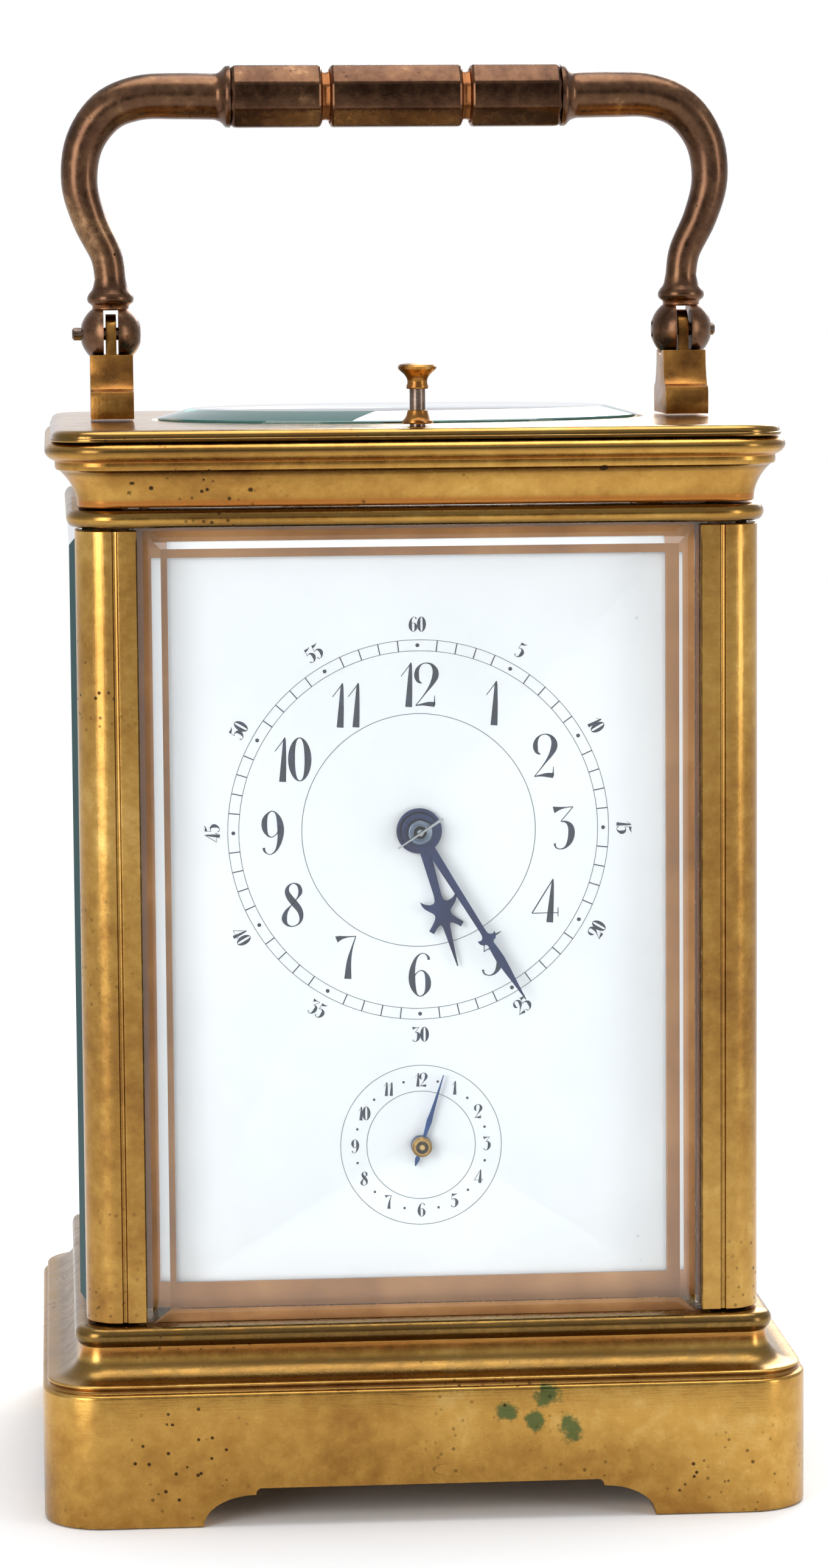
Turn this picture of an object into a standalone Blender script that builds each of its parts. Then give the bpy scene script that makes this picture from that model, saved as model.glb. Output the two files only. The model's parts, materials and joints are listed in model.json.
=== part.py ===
# Brass carriage clock with a drop handle, an alarm ring and a lever platform.
# Every length below is in millimetres and is turned into metres as the shapes are made.
# The clock faces -Y, stands on z = 0 and is centred on x = y = 0.
import math

import bmesh
import bpy
from mathutils import Matrix, Vector

MM = 0.001
GAP = 0.3

# Base
BASE_HALF_X = 47.0
BASE_HALF_Y = 41.0
BASE_CORNER = 7.5
BASE_WALL = 6.0
BASE_TOP = 23.9
FOOT_CLEAR_X = 27.7
FOOT_CLEAR_Y = 22.0
FOOT_ARCH = 6.4
ARCH_LOW = 3.9
ARCH_HIGH = 4.7

# Case above the base, where each half depth is its half width less CASE_SETBACK
CASE_SETBACK = 6.0
PILLAR_HALF_X = 41.5
PILLAR_FLAT = 2.9
PILLAR_SIZE = 7.4
PILLAR_TOP = 121.0
GROOVE_DEPTH = 1.2
RAIL_BOTTOM = 121.3
RAIL_TOP = 123.4
CORNICE_BOTTOM = 123.7
CORNICE_TOP = 131.5
INNER_HALF_X = 35.5
TOP_BOTTOM = 131.8
TOP_SURFACE = 133.1

# Glasses
GLASS_THICK = 3.0
GLASS_EDGE = 1.4
GLASS_RIM = 1.1
GLASS_BEVEL = 3.7
GLASS_PROUD = 0.7
OVAL_HALF_X = 31.0
OVAL_HALF_Y = 22.0

# Rear door
DOOR_HALF_X = 33.3
DOOR_BOTTOM = 24.9
DOOR_TOP = 120.1
DOOR_THICK = 2.8
DOOR_BACK = 34.3
DOOR_AXIS_X = -31.9
DOOR_STILE = 4.8
DOOR_PIN_RADIUS = 0.7

# Handle
PIVOT_X = 36.4
PIVOT_Z = 143.9
BALL_RADIUS = 3.9
TONGUE = 1.3
SLOT = 1.9
PIN_RADIUS = 0.8
POST_WIDTH = 5.4
POST_HALF_DEPTH = 6.0
GRIP_HALF = 21.0
GRIP_RADIUS = 4.2
GRIP_GROOVE_X = 8.9
GRIP_Z = 173.7
ROD_END_RADIUS = 2.9

# Repeat button
BUTTON_Y = -32.6
BUTTON_TOP = 140.7
BUTTON_RIM = 137.9
STEM_RADIUS = 0.95

# Dial, hands and their stack of depths
DIAL_HALF_X = 33.6
DIAL_BOTTOM = 24.9
DIAL_TOP = 120.6
DIAL_FRONT = -28.6
DIAL_THICK = 1.2
MASK_HALF_X = 30.4
MASK_BOTTOM = 28.1
MASK_TOP = 117.4
MASK_THICK = 0.7
CENTRE_Z = 83.6
ALARM_Z = 44.5
HAND_THICK = 0.4
HOUR_HAND_Y = -29.3
MINUTE_HAND_Y = -30.3
COLLET_Y = -31.0
HAND_PIN_Y = -32.05
HOUR_ANGLE = 164.6
MINUTE_ANGLE = 148.3
ALARM_ANGLE = 17.6
MOTION_DISTANCE = 9.6

# Movement
PLATE_HALF_X = 29.0
PLATE_BOTTOM = 21.0
PLATE_TOP = 112.7
PLATE_THICK = 2.0
FRONT_PLATE = -18.0
BACK_PLATE = 12.0
BARREL_X = 15.2
BARREL_Z = 77.2
BARREL_RADIUS = 13.2
BARREL_TEETH = 39
BARREL_PITCH = 14.3
LEAVES = 6
TRAIN_TEETH = 36
TRAIN_PITCH = 9.6
THIRD_X = -6.2
THIRD_Z = 92.93
CONTRATE_Z = 102.3
CONTRATE_TEETH = 24
CONTRATE_RADIUS = 7.8
CROWN_TIP = -3.0
CROWN_DEPTH = 1.0
CROWN_WIDTH = 1.1
STRIKE_WHEEL = (17.5, 93.54)
PIN_WHEEL = (12.0, 103.3)
PIN_WHEEL_TEETH = 24
PIN_WHEEL_PITCH = 6.0
FLY = (19.4, 101.5)
ALARM_BARREL = (14.0, 42.0)
PLATFORM_BOTTOM = 113.0
ESCAPE = (0.0, -4.4)
LEVER = (-4.6, -2.0)
BALANCE = (-9.4, 0.6)
GONG_CENTRE = (0.0, 48.0)
GONG_Y = 19.0
HAMMER = (-25.0, 66.0)

scene = bpy.context.scene
for old in list(bpy.data.objects):
    bpy.data.objects.remove(old, do_unlink=True)

parts = bpy.data.collections.new("carriage_clock")
cutters = bpy.data.collections.new("cutters")
scene.collection.children.link(parts)
scene.collection.children.link(cutters)


# ---- materials ----
def make_material(name, colour, metallic, roughness, transmission=0.0):
    material = bpy.data.materials.new(name)
    material.use_nodes = True
    shader = material.node_tree.nodes["Principled BSDF"]
    shader.inputs["Base Color"].default_value = (*colour, 1.0)
    shader.inputs["Metallic"].default_value = metallic
    shader.inputs["Roughness"].default_value = roughness
    shader.inputs["Transmission Weight"].default_value = transmission
    return material


GILT = make_material("gilt_brass", (0.62, 0.40, 0.12), 1.0, 0.32)
BRONZE = make_material("handle_bronze", (0.22, 0.13, 0.07), 1.0, 0.38)
GLASS = make_material("bevelled_glass", (0.92, 0.97, 0.97), 0.0, 0.02, 1.0)
ENAMEL = make_material("white_enamel", (0.88, 0.90, 0.92), 0.0, 0.18)
BLUED = make_material("blued_steel", (0.03, 0.04, 0.09), 1.0, 0.25)
STEEL = make_material("polished_steel", (0.55, 0.56, 0.58), 1.0, 0.22)
PLATE = make_material("plate_brass", (0.70, 0.52, 0.22), 1.0, 0.28)
MASK = make_material("mask_brass", (0.30, 0.17, 0.09), 1.0, 0.4)


# ---- helpers ----
def add_object(name, data, material, location=(0, 0, 0), rotation=(0, 0, 0)):
    obj = bpy.data.objects.new(name, data)
    obj.location = Vector(location) * MM
    obj.rotation_euler = rotation
    data.materials.append(material)
    parts.objects.link(obj)
    return obj


def mesh_object(name, bm, material, location=(0, 0, 0), rotation=(0, 0, 0)):
    bmesh.ops.recalc_face_normals(bm, faces=bm.faces)
    mesh = bpy.data.meshes.new(name)
    bm.to_mesh(mesh)
    bm.free()
    return add_object(name, mesh, material, location, rotation)


def block(name, low, high, material, location=(0, 0, 0)):
    low, high = Vector(low), Vector(high)
    place = Matrix.Translation((low + high) / 2 * MM) @ Matrix.Diagonal((*((high - low) * MM), 1.0))
    bm = bmesh.new()
    bmesh.ops.create_cube(bm, size=1.0, matrix=place)
    return mesh_object(name, bm, material, location)


def ball(name, radius, material, location, segments=14, rings=9):
    bm = bmesh.new()
    bmesh.ops.create_uvsphere(bm, u_segments=segments, v_segments=rings, radius=radius * MM)
    return mesh_object(name, bm, material, location, (0.11, 0.07, 0.13))


AXIS_TURN = {"X": (0, math.pi / 2, 0), "Y": (math.pi / 2, 0, 0), "Z": (0, 0, 0)}


# A turned piece. The profile holds (radius, height) from the top down the outer side. Height runs
# along +X, along -Y towards the front, or along +Z.
def turned(name, profile, material, location=(0, 0, 0), axis="Z", steps=24, ring=False):
    mesh = bpy.data.meshes.new(name)
    points = [(radius * MM, 0.0, height * MM) for radius, height in profile]
    edges = [(i, i + 1) for i in range(len(points) - 1)]
    if ring:
        edges.append((len(points) - 1, 0))
    mesh.from_pydata(points, edges, [])
    obj = add_object(name, mesh, material, location, AXIS_TURN[axis])
    screw = obj.modifiers.new("turn", "SCREW")
    screw.steps = steps
    screw.render_steps = steps
    screw.use_merge_vertices = True
    screw.merge_threshold = 0.000002
    return obj


def rod(name, radius, low, high, material, location=(0, 0, 0), axis="Z", steps=12):
    profile = [(0, high), (radius, high), (radius, low), (0, low)]
    return turned(name, profile, material, location, axis, steps)


# A flat plate between two depths. Along Y the outline is in x and z, along Z in x and y, and
# along X in y and z. The outline is measured from the centre.
def plate(name, loops, low, high, material, centre=(0, 0), axis="Y"):
    curve = bpy.data.curves.new(name, "CURVE")
    curve.dimensions = "2D"
    curve.fill_mode = "BOTH"
    curve.extrude = (high - low) / 2 * MM
    for loop in loops:
        spline = curve.splines.new("POLY")
        spline.points.add(len(loop) - 1)
        for point, (u, v) in zip(spline.points, loop):
            point.co = (u * MM, v * MM, 0.0, 1.0)
        spline.use_cyclic_u = True
    middle = (low + high) / 2
    if axis == "Y":
        return add_object(name, curve, material, (centre[0], middle, centre[1]), AXIS_TURN["Y"])
    if axis == "Z":
        return add_object(name, curve, material, (centre[0], centre[1], middle))
    turn = (math.pi / 2, 0, math.pi / 2)
    return add_object(name, curve, material, (middle, centre[0], centre[1]), turn)


# A curve takes no Boolean, so it becomes a mesh with its caps welded.
def as_mesh(obj):
    graph = bpy.context.evaluated_depsgraph_get()
    graph.update()
    mesh = bpy.data.meshes.new_from_object(obj.evaluated_get(graph))
    bm = bmesh.new()
    bm.from_mesh(mesh)
    bmesh.ops.remove_doubles(bm, verts=bm.verts, dist=0.000002)
    bmesh.ops.recalc_face_normals(bm, faces=bm.faces)
    bm.to_mesh(mesh)
    bm.free()
    name = obj.name
    material = obj.data.materials[0]
    place = obj.matrix_basis.copy()
    bpy.data.objects.remove(obj, do_unlink=True)
    mesh.materials.clear()
    solid = add_object(name, mesh, material)
    solid.matrix_basis = place
    return solid


def combine(obj, operation, others):
    solid = as_mesh(obj) if obj.type == "CURVE" else obj
    for index, other in enumerate(others):
        tool = as_mesh(other) if other.type == "CURVE" else other
        tool.hide_render = True
        tool.display_type = "WIRE"
        parts.objects.unlink(tool)
        cutters.objects.link(tool)
        boolean = solid.modifiers.new(f"{operation.lower()}_{index}", "BOOLEAN")
        boolean.operation = operation
        boolean.object = tool
    return solid


def union(obj, *others):
    return combine(obj, "UNION", others)


def cut(obj, *others):
    return combine(obj, "DIFFERENCE", others)


# A skin over a row of loops with the same number of points, closed into a ring or capped.
def loft(name, loops, material, ring=False, location=(0, 0, 0)):
    bm = bmesh.new()
    rows = [[bm.verts.new(Vector(point) * MM) for point in loop] for loop in loops]
    pairs = list(zip(rows, rows[1:]))
    if ring:
        pairs.append((rows[-1], rows[0]))
    for lower, upper in pairs:
        for i in range(len(lower)):
            j = (i + 1) % len(lower)
            bm.faces.new((lower[i], lower[j], upper[j], upper[i]))
    if not ring:
        bm.faces.new(rows[0])
        bm.faces.new(rows[-1])
    return mesh_object(name, bm, material, location)


def circle(radius, count, centre=(0, 0), start=0.0):
    angles = [start + 2 * math.pi * i / count for i in range(count)]
    return [(centre[0] + radius * math.cos(a), centre[1] + radius * math.sin(a)) for a in angles]


def rectangle(left, low, right, high):
    return [(left, low), (right, low), (right, high), (left, high)]


def rounded_rectangle(half_x, half_y, radius, corner_steps=3, side_steps=1):
    corners = ((1, 1, 0), (-1, 1, 90), (-1, -1, 180), (1, -1, 270))
    arcs = []
    for sign_x, sign_y, start in corners:
        centre_x = sign_x * (half_x - radius)
        centre_y = sign_y * (half_y - radius)
        arc = []
        for i in range(corner_steps + 1):
            angle = math.radians(start + 90 * i / corner_steps)
            arc.append((centre_x + radius * math.cos(angle), centre_y + radius * math.sin(angle)))
        arcs.append(arc)
    points = []
    for arc, following in zip(arcs, arcs[1:] + arcs[:1]):
        points += arc
        start, end = Vector(arc[-1]), Vector(following[0])
        points += [tuple(start.lerp(end, i / side_steps)) for i in range(1, side_steps)]
    return points


# A rectangular moulding. The section holds (half width, height) and goes round as a closed ring.
def moulding(name, section, setback, corner, material):
    loops = []
    widest = max(half for half, _ in section)
    for half, height in section:
        radius = max(corner - (widest - half), 0.6)
        outline = rounded_rectangle(half, half - setback, radius)
        loops.append([(x, y, height) for x, y in outline])
    return loft(name, loops, material, ring=True)


# ---- wheels ----
# A tooth, or with gap the space between two, points along the angle called facing.
def gear_loop(teeth, pitch_radius, facing=0.0, gap=False):
    module = 2 * pitch_radius / teeth
    tip = pitch_radius + 0.45 * module
    root = pitch_radius - 0.9 * module
    phase = facing + (math.pi / teeth if gap else 0.0)
    points = []
    for i in range(2 * teeth):
        angle = phase + math.pi * i / teeth
        radius = root if i % 2 else tip
        points.append((radius * math.cos(angle), radius * math.sin(angle)))
    return points


def toward(start, end):
    return math.atan2(end[1] - start[1], end[0] - start[0])


def windows(count, inner, outer, arm, steps=3):
    loops = []
    for i in range(count):
        start = 0.27 + 2 * math.pi * i / count
        end = start + 2 * math.pi / count
        loop = []
        for radius, backwards in ((outer, False), (inner, True)):
            trim = math.asin(arm / 2 / radius)
            angles = [start + trim + (end - start - 2 * trim) * k / steps for k in range(steps + 1)]
            if backwards:
                angles.reverse()
            loop += [(radius * math.cos(a), radius * math.sin(a)) for a in angles]
        loops.append(loop)
    return loops


# A spoked wheel on its arbor, with a pinion, all turning about an axis along Y.
# The wheel drives what is at its drives end, and its pinion is driven from the driver's place.
# A nose is a thinner front end, as (radius, front depth).
def train_wheel(name, centre, gear, gear_y, arbor_y, pinion, pinion_y, driver, drives, nose=None):
    teeth, pitch = gear
    arbor = 0.8
    spokes = windows(4, arbor + 1.1, pitch - 1.7, 1.3)
    wheel = plate(name, [gear_loop(teeth, pitch, toward(centre, drives))] + spokes, *gear_y, PLATE, centre)
    profile = [(0, -arbor_y[0]), (arbor, -arbor_y[0]), (arbor, -arbor_y[1]), (0, -arbor_y[1])]
    if nose:
        profile[:1] = [(0, -nose[1]), (nose[0], -nose[1]), (nose[0], -arbor_y[0])]
    shaft = turned(f"{name}_arbor", profile, PLATE, (centre[0], 0, centre[1]), "Y", 12)
    leaves = gear_loop(LEAVES, pinion, toward(centre, driver), gap=True)
    return union(wheel, shaft, plate(f"{name}_pinion", [leaves], *pinion_y, PLATE, centre))


# ---- base ----
def build_base():
    half = BASE_HALF_X
    section = [
        (half - 0.5, 0.0), (half, 0.5), (half, 16.2), (half - 0.4, 16.6), (half - 0.9, 16.8),
        (half - 0.5, 17.4), (half - 0.8, 17.9), (half - 1.3, 18.2), (half - 1.6, 18.7),
        (half - 2.2, 19.2), (half - 3.2, 19.6), (half - 4.1, 20.1), (half - 4.6, 20.9),
        (half - 4.8, 21.8), (half - 4.25, 22.2), (half - 4.0, 22.9), (half - 4.25, 23.6),
        (half - 4.8, BASE_TOP), (half - 13.5, BASE_TOP), (half - 13.5, 21.0),
        (half - BASE_WALL, 21.0), (half - BASE_WALL, 0.0),
    ]
    base = moulding("base_plinth", section, CASE_SETBACK, BASE_CORNER, GILT)
    reach = BASE_HALF_X + 5.0
    across = plate("foot_cut_across", [foot_cut(FOOT_CLEAR_X)], -reach, reach, GILT)
    along = plate("foot_cut_along", [foot_cut(FOOT_CLEAR_Y)], -reach, reach, GILT, axis="X")
    socket = rod("door_socket_low", DOOR_PIN_RADIUS + GAP, 22.5, 25.0, GILT, door_axis())
    cut(base, across, along, socket)
    low, high = 18.0, 20.7
    outline = rounded_rectangle(half - BASE_WALL - GAP, BASE_HALF_Y - BASE_WALL - GAP, 2.0)
    plate("base_plate", [outline], low, high, PLATE, axis="Z")


# The opening between two bracket feet: an arc up from the floor, a small step and a flat top.
def foot_cut(half):
    steps = 5
    side = [(half, -1.0), (half, 0.0)]
    for i in range(1, steps + 1):
        angle = math.pi / 2 * i / steps
        side.append((half - FOOT_ARCH * (1 - math.cos(angle)), ARCH_LOW * math.sin(angle)))
    side.append((half - FOOT_ARCH - 0.2, ARCH_HIGH))
    return side + [(-x, z) for x, z in reversed(side)]


# ---- pillars ----
# The section in the quadrant where x and y are positive: two flats with a fine groove beside each,
# a round corner between them, and a glass groove in each inner face.
def pillar_section():
    outer_x = PILLAR_HALF_X
    outer_y = PILLAR_HALF_X - CASE_SETBACK
    inner_x = outer_x - PILLAR_SIZE
    inner_y = outer_y - PILLAR_SIZE
    radius = PILLAR_SIZE - PILLAR_FLAT - 0.3
    glass_y = outer_y + GLASS_PROUD - GLASS_THICK
    glass_x = outer_x + GLASS_PROUD - GLASS_THICK
    points = [(inner_x, outer_y)]
    points.append((inner_x + PILLAR_FLAT - 0.2, outer_y))
    points.append((inner_x + PILLAR_FLAT, outer_y - 0.4))
    for i in range(7):
        angle = math.radians(90 - 15 * i)
        x = outer_x - radius + radius * math.cos(angle)
        y = outer_y - radius + radius * math.sin(angle)
        points.append((x, y))
    points.append((outer_x - 0.4, inner_y + PILLAR_FLAT))
    points.append((outer_x, inner_y + PILLAR_FLAT - 0.2))
    points.append((outer_x, inner_y))
    slot_low, slot_high = glass_x - 0.2, glass_x + GLASS_EDGE + 0.2
    points += [(slot_high, inner_y), (slot_high, inner_y + GROOVE_DEPTH)]
    points += [(slot_low, inner_y + GROOVE_DEPTH), (slot_low, inner_y), (inner_x, inner_y)]
    slot_low, slot_high = glass_y - 0.2, glass_y + GLASS_EDGE + 0.2
    points += [(inner_x, slot_low), (inner_x + GROOVE_DEPTH, slot_low)]
    points += [(inner_x + GROOVE_DEPTH, slot_high), (inner_x, slot_high)]
    return points


def build_pillars():
    section = pillar_section()
    for side, sign_x in (("left", -1), ("right", 1)):
        for end, sign_y in (("front", -1), ("rear", 1)):
            outline = [(x * sign_x, y * sign_y) for x, y in section]
            plate(f"pillar_{end}_{side}", [outline], BASE_TOP + GAP, PILLAR_TOP, GILT, axis="Z")


# ---- top of the case ----
def build_top():
    rail = [
        (41.6, RAIL_BOTTOM), (42.2, 121.55), (42.5, 122.35), (42.2, 123.15), (41.6, RAIL_TOP),
        (INNER_HALF_X, RAIL_TOP), (INNER_HALF_X, RAIL_BOTTOM),
    ]
    top_rail = moulding("top_rail", rail, CASE_SETBACK, 6.0, GILT)
    cut(top_rail, rod("door_socket_high", DOOR_PIN_RADIUS + GAP, 121.0, 122.6, GILT, door_axis()))
    section = []
    for i in range(6):
        angle = math.radians(18 * i)
        section.append((41.1 + 2.5 * (1 - math.cos(angle)), CORNICE_BOTTOM + 4.8 * math.sin(angle)))
    section.append((43.8, 129.0))
    for i in range(1, 6):
        angle = math.radians(30 * i)
        section.append((44.0 + 1.05 * math.sin(angle), 130.3 - 1.2 * math.cos(angle)))
    section.append((43.9, CORNICE_TOP))
    section += [(INNER_HALF_X, CORNICE_TOP), (INNER_HALF_X, CORNICE_BOTTOM)]
    cornice = moulding("cornice", section, CASE_SETBACK, 6.5, GILT)
    cut(cornice, rod("button_well", STEM_RADIUS + GAP, 126.0, 132.0, GILT, (0, BUTTON_Y, 0)))

    sides = [(44.3, TOP_BOTTOM), (43.9, 132.2), (42.8, 132.5), (42.2, 132.9), (41.9, TOP_SURFACE)]
    loops = []
    for half, height in sides:
        outline = rounded_rectangle(half, half - CASE_SETBACK, 6.0 - (44.3 - half), 4, 6)
        loops.append([(x, y, height) for x, y in outline])
    for height in (TOP_SURFACE, TOP_BOTTOM):
        loops.append(oval(outline, OVAL_HALF_X, OVAL_HALF_Y, height))
    plate_top = loft("top_plate", loops, GILT, ring=True)
    cut(plate_top, rod("button_hole", STEM_RADIUS + GAP, 131.0, 134.0, GILT, (0, BUTTON_Y, 0)))

    levels = [
        (OVAL_HALF_X + 2.0, OVAL_HALF_Y + 2.0, 130.2), (OVAL_HALF_X + 2.0, OVAL_HALF_Y + 2.0, 131.5),
        (OVAL_HALF_X - GAP, OVAL_HALF_Y - GAP, 131.5), (OVAL_HALF_X - GAP, OVAL_HALF_Y - GAP, 133.3),
        (OVAL_HALF_X - 4.4, OVAL_HALF_Y - 4.4, 134.5),
    ]
    loops = [oval(outline, half_x, half_y, height) for half_x, half_y, height in levels]
    loft("top_glass", loops, GLASS)


# An oval with one point in line with each point of a rounded rectangle.
def oval(outline, half_x, half_y, height):
    reach_x = max(x for x, _ in outline)
    reach_y = max(y for _, y in outline)
    angles = [math.atan2(y / reach_y, x / reach_x) for x, y in outline]
    return [(half_x * math.cos(a), half_y * math.sin(a), height) for a in angles]


# ---- glasses ----
# A bevelled sheet: the edges, a flat rim that the groove holds and the raised field, given as (u, v, depth).
def glass_levels(low_u, low_v, high_u, high_v, inner, outward):
    edge = inner + outward * GLASS_EDGE
    face = inner + outward * GLASS_THICK
    levels = []
    for inset, depth in ((0, inner), (0, edge), (GLASS_RIM, edge), (GLASS_BEVEL, face)):
        outline = rectangle(low_u + inset, low_v + inset, high_u - inset, high_v - inset)
        levels.append([(u, v, depth) for u, v in outline])
    return levels


def build_glasses():
    low, high = BASE_TOP + GAP, PILLAR_TOP
    groove = PILLAR_HALF_X - PILLAR_SIZE + GROOVE_DEPTH - GAP
    face = PILLAR_HALF_X - CASE_SETBACK + GLASS_PROUD - GLASS_THICK
    levels = glass_levels(-groove, low, groove, high, -face, -1)
    loft("front_glass", [[(u, depth, v) for u, v, depth in level] for level in levels], GLASS)
    reach = groove - CASE_SETBACK
    face = PILLAR_HALF_X + GLASS_PROUD - GLASS_THICK
    for side, sign in (("left", -1), ("right", 1)):
        levels = glass_levels(-reach, low, reach, high, sign * face, sign)
        loft(f"{side}_glass", [[(depth, u, v) for u, v, depth in level] for level in levels], GLASS)


# ---- rear door ----
def door_axis():
    return (DOOR_AXIS_X, DOOR_BACK - DOOR_THICK / 2, 0)


def build_door():
    front = DOOR_BACK - DOOR_THICK
    opening = DOOR_HALF_X - DOOR_STILE
    outline = rectangle(-DOOR_HALF_X, DOOR_BOTTOM, DOOR_HALF_X, DOOR_TOP)
    hole = rectangle(-opening, DOOR_BOTTOM + DOOR_STILE, opening, DOOR_TOP - DOOR_STILE)
    frame = plate("rear_door_frame", [outline, hole], front, DOOR_BACK, GILT)
    holes = []
    pieces = []
    ends = [("top", DOOR_TOP - 2.5, DOOR_TOP + 2.2), ("bottom", DOOR_BOTTOM - 2.1, DOOR_BOTTOM + 2.5)]
    for end, low, high in ends:
        bore = rod(f"door_bore_{end}", DOOR_PIN_RADIUS + GAP, low - GAP, high + GAP, GILT, door_axis())
        holes.append(bore)
        rod(f"rear_door_pin_{end}", DOOR_PIN_RADIUS, low, high, STEEL, door_axis())
    pieces.append(cut(frame, *holes))
    levels = glass_levels(-opening + GAP, DOOR_BOTTOM + DOOR_STILE + GAP, opening - GAP,
                          DOOR_TOP - DOOR_STILE - GAP, front + 0.2, 1)
    upright = [[(u, depth, v) for u, v, depth in level] for level in levels]
    pieces.append(loft("rear_door_glass", upright, GLASS))
    knob = [(0, -GAP), (1.1, -GAP), (1.1, -1.2), (2.1, -2.0), (2.3, -2.8), (1.8, -3.5), (0, -3.8)]
    pieces.append(turned("rear_door_knob", knob, GILT, (DOOR_HALF_X - 2.4, DOOR_BACK, 73.0), "Y", 16))
    hang(pieces, "rear_door_axis", door_axis())


# Parents pieces to an empty on their joint's axis and leaves them where they are.
def hang(pieces, name, location):
    pivot = bpy.data.objects.new(name, None)
    pivot.location = Vector(location) * MM
    parts.objects.link(pivot)
    for piece in pieces:
        piece.parent = pivot
        piece.matrix_parent_inverse = Matrix.Translation(-Vector(location) * MM)


# ---- handle ----
def between(p, q, r, s, t):
    square = (2 * p - 5 * q + 4 * r - s) * t * t
    cube = (3 * q - p - 3 * r + s) * t ** 3
    return 0.5 * (2 * q + (r - p) * t + square + cube)


def smooth_path(points, steps):
    path = []
    padded = [points[0]] + list(points) + [points[-1]]
    for four in zip(padded, padded[1:], padded[2:], padded[3:]):
        for i in range(steps):
            path.append(tuple(between(*values, i / steps) for values in zip(*four)))
    return path + [points[-1]]


# The neck and the bell above the ball, then the rod out, up and over to the grip, as x, z, radius.
ARM_BELL = [
    (36.4, 146.6, 2.2), (36.4, 147.5, 2.3), (36.4, 147.9, 2.85), (36.4, 148.7, 2.9), (36.4, 149.7, 2.3),
]
ARM_ROD = [
    (36.4, 151.0, 1.95), (36.9, 154.0, 2.0), (38.9, 158.3, 2.15), (40.1, 163.0, 2.3), (39.4, 168.0, 2.45),
    (36.6, 171.9, 2.65), (32.5, 173.6, 2.8), (27.5, 173.8, ROD_END_RADIUS),
    (GRIP_HALF + 1.4, GRIP_Z, ROD_END_RADIUS),
]
ARM_COLLAR = [(GRIP_HALF + 0.9, GRIP_Z, 3.5), (GRIP_HALF + GAP, GRIP_Z, 4.0)]


def handle_arm(side, sign):
    name = f"handle_arm_{side}"
    points = ARM_BELL + smooth_path(ARM_ROD, 2) + ARM_COLLAR
    curve = bpy.data.curves.new(name, "CURVE")
    curve.dimensions = "3D"
    curve.bevel_depth = MM
    curve.bevel_resolution = 2
    curve.use_fill_caps = True
    spline = curve.splines.new("POLY")
    spline.points.add(len(points) - 1)
    for point, (x, z, radius) in zip(spline.points, points):
        point.co = (x * sign * MM, 0.0, z * MM, 1.0)
        point.radius = radius
    arm = add_object(name, curve, BRONZE)
    centre = (PIVOT_X * sign, 0, PIVOT_Z)
    arm = union(arm, ball(f"{name}_ball", BALL_RADIUS, BRONZE, centre))
    slot = block(f"{name}_slot", (-SLOT / 2, -6, -6), (SLOT / 2, 6, 3.1), BRONZE, centre)
    bore = rod(f"{name}_bore", PIN_RADIUS + GAP, -8, 8, BRONZE, centre, "X")
    return cut(arm, slot, bore)


# The block with its hollowed sides, cupped under the ball, and the tongue that the pin goes through.
def handle_post(side, sign):
    name = f"handle_post_{side}"
    low = TOP_SURFACE + GAP
    profile = [(POST_HALF_DEPTH, low), (POST_HALF_DEPTH, low + 2.8)]
    for i in range(5):
        angle = math.radians(90 * i / 4)
        profile.append((3.4 + 2.3 * (1 - math.sin(angle)), 141.4 - 4.6 * math.cos(angle)))
    outline = profile + [(-y, z) for y, z in reversed(profile)]
    middle = PIVOT_X * sign
    body = plate(name, [outline], middle - POST_WIDTH / 2, middle + POST_WIDTH / 2, BRONZE, axis="X")
    body = cut(body, ball(f"{name}_cup", BALL_RADIUS + GAP, BRONZE, (middle, 0, PIVOT_Z)))
    tongue_radius = 2.6
    arc = [(tongue_radius * math.cos(a), PIVOT_Z + tongue_radius * math.sin(a))
           for a in (math.radians(22.5 * i) for i in range(9))]
    tongue_outline = [(tongue_radius, low + 4.0)] + arc + [(-tongue_radius, low + 4.0)]
    bore = circle(PIN_RADIUS + GAP, 12, (0, PIVOT_Z))
    low_x, high_x = middle - TONGUE / 2, middle + TONGUE / 2
    tongue = plate(f"{name}_tongue", [tongue_outline, bore], low_x, high_x, BRONZE, axis="X")
    return union(body, tongue)


def build_handle():
    pieces = []
    for side, sign in (("left", -1), ("right", 1)):
        pieces.append(handle_arm(side, sign))
        handle_post(side, sign)
        end = BALL_RADIUS + (1.0 if side == "left" else 0.4)
        pin = rod(f"handle_pin_{side}", PIN_RADIUS, -BALL_RADIUS - 0.4, BALL_RADIUS + 0.4, STEEL,
                  (PIVOT_X * sign, 0, PIVOT_Z), "X")
        pin.scale = (1, 1, end / (BALL_RADIUS + 0.4))
        pieces.append(pin)
    neck, half = 3.3, GRIP_GROOVE_X
    radius = GRIP_RADIUS
    right = [(0, GRIP_HALF), (radius - 0.3, GRIP_HALF), (radius, GRIP_HALF - 0.4), (radius, half + 0.9),
             (radius - 0.3, half + 0.6), (neck, half + 0.5), (neck, half - 0.5), (radius - 0.3, half - 0.6),
             (radius, half - 0.9)]
    profile = right + [(r, -height) for r, height in reversed(right)]
    grip = turned("handle_grip", profile, BRONZE, (0, 0, GRIP_Z), "X", 8)
    grip.rotation_euler.rotate_axis("Z", math.radians(22.5))
    pieces.append(grip)
    hang(pieces, "handle_axis", (0, 0, PIVOT_Z))


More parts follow.
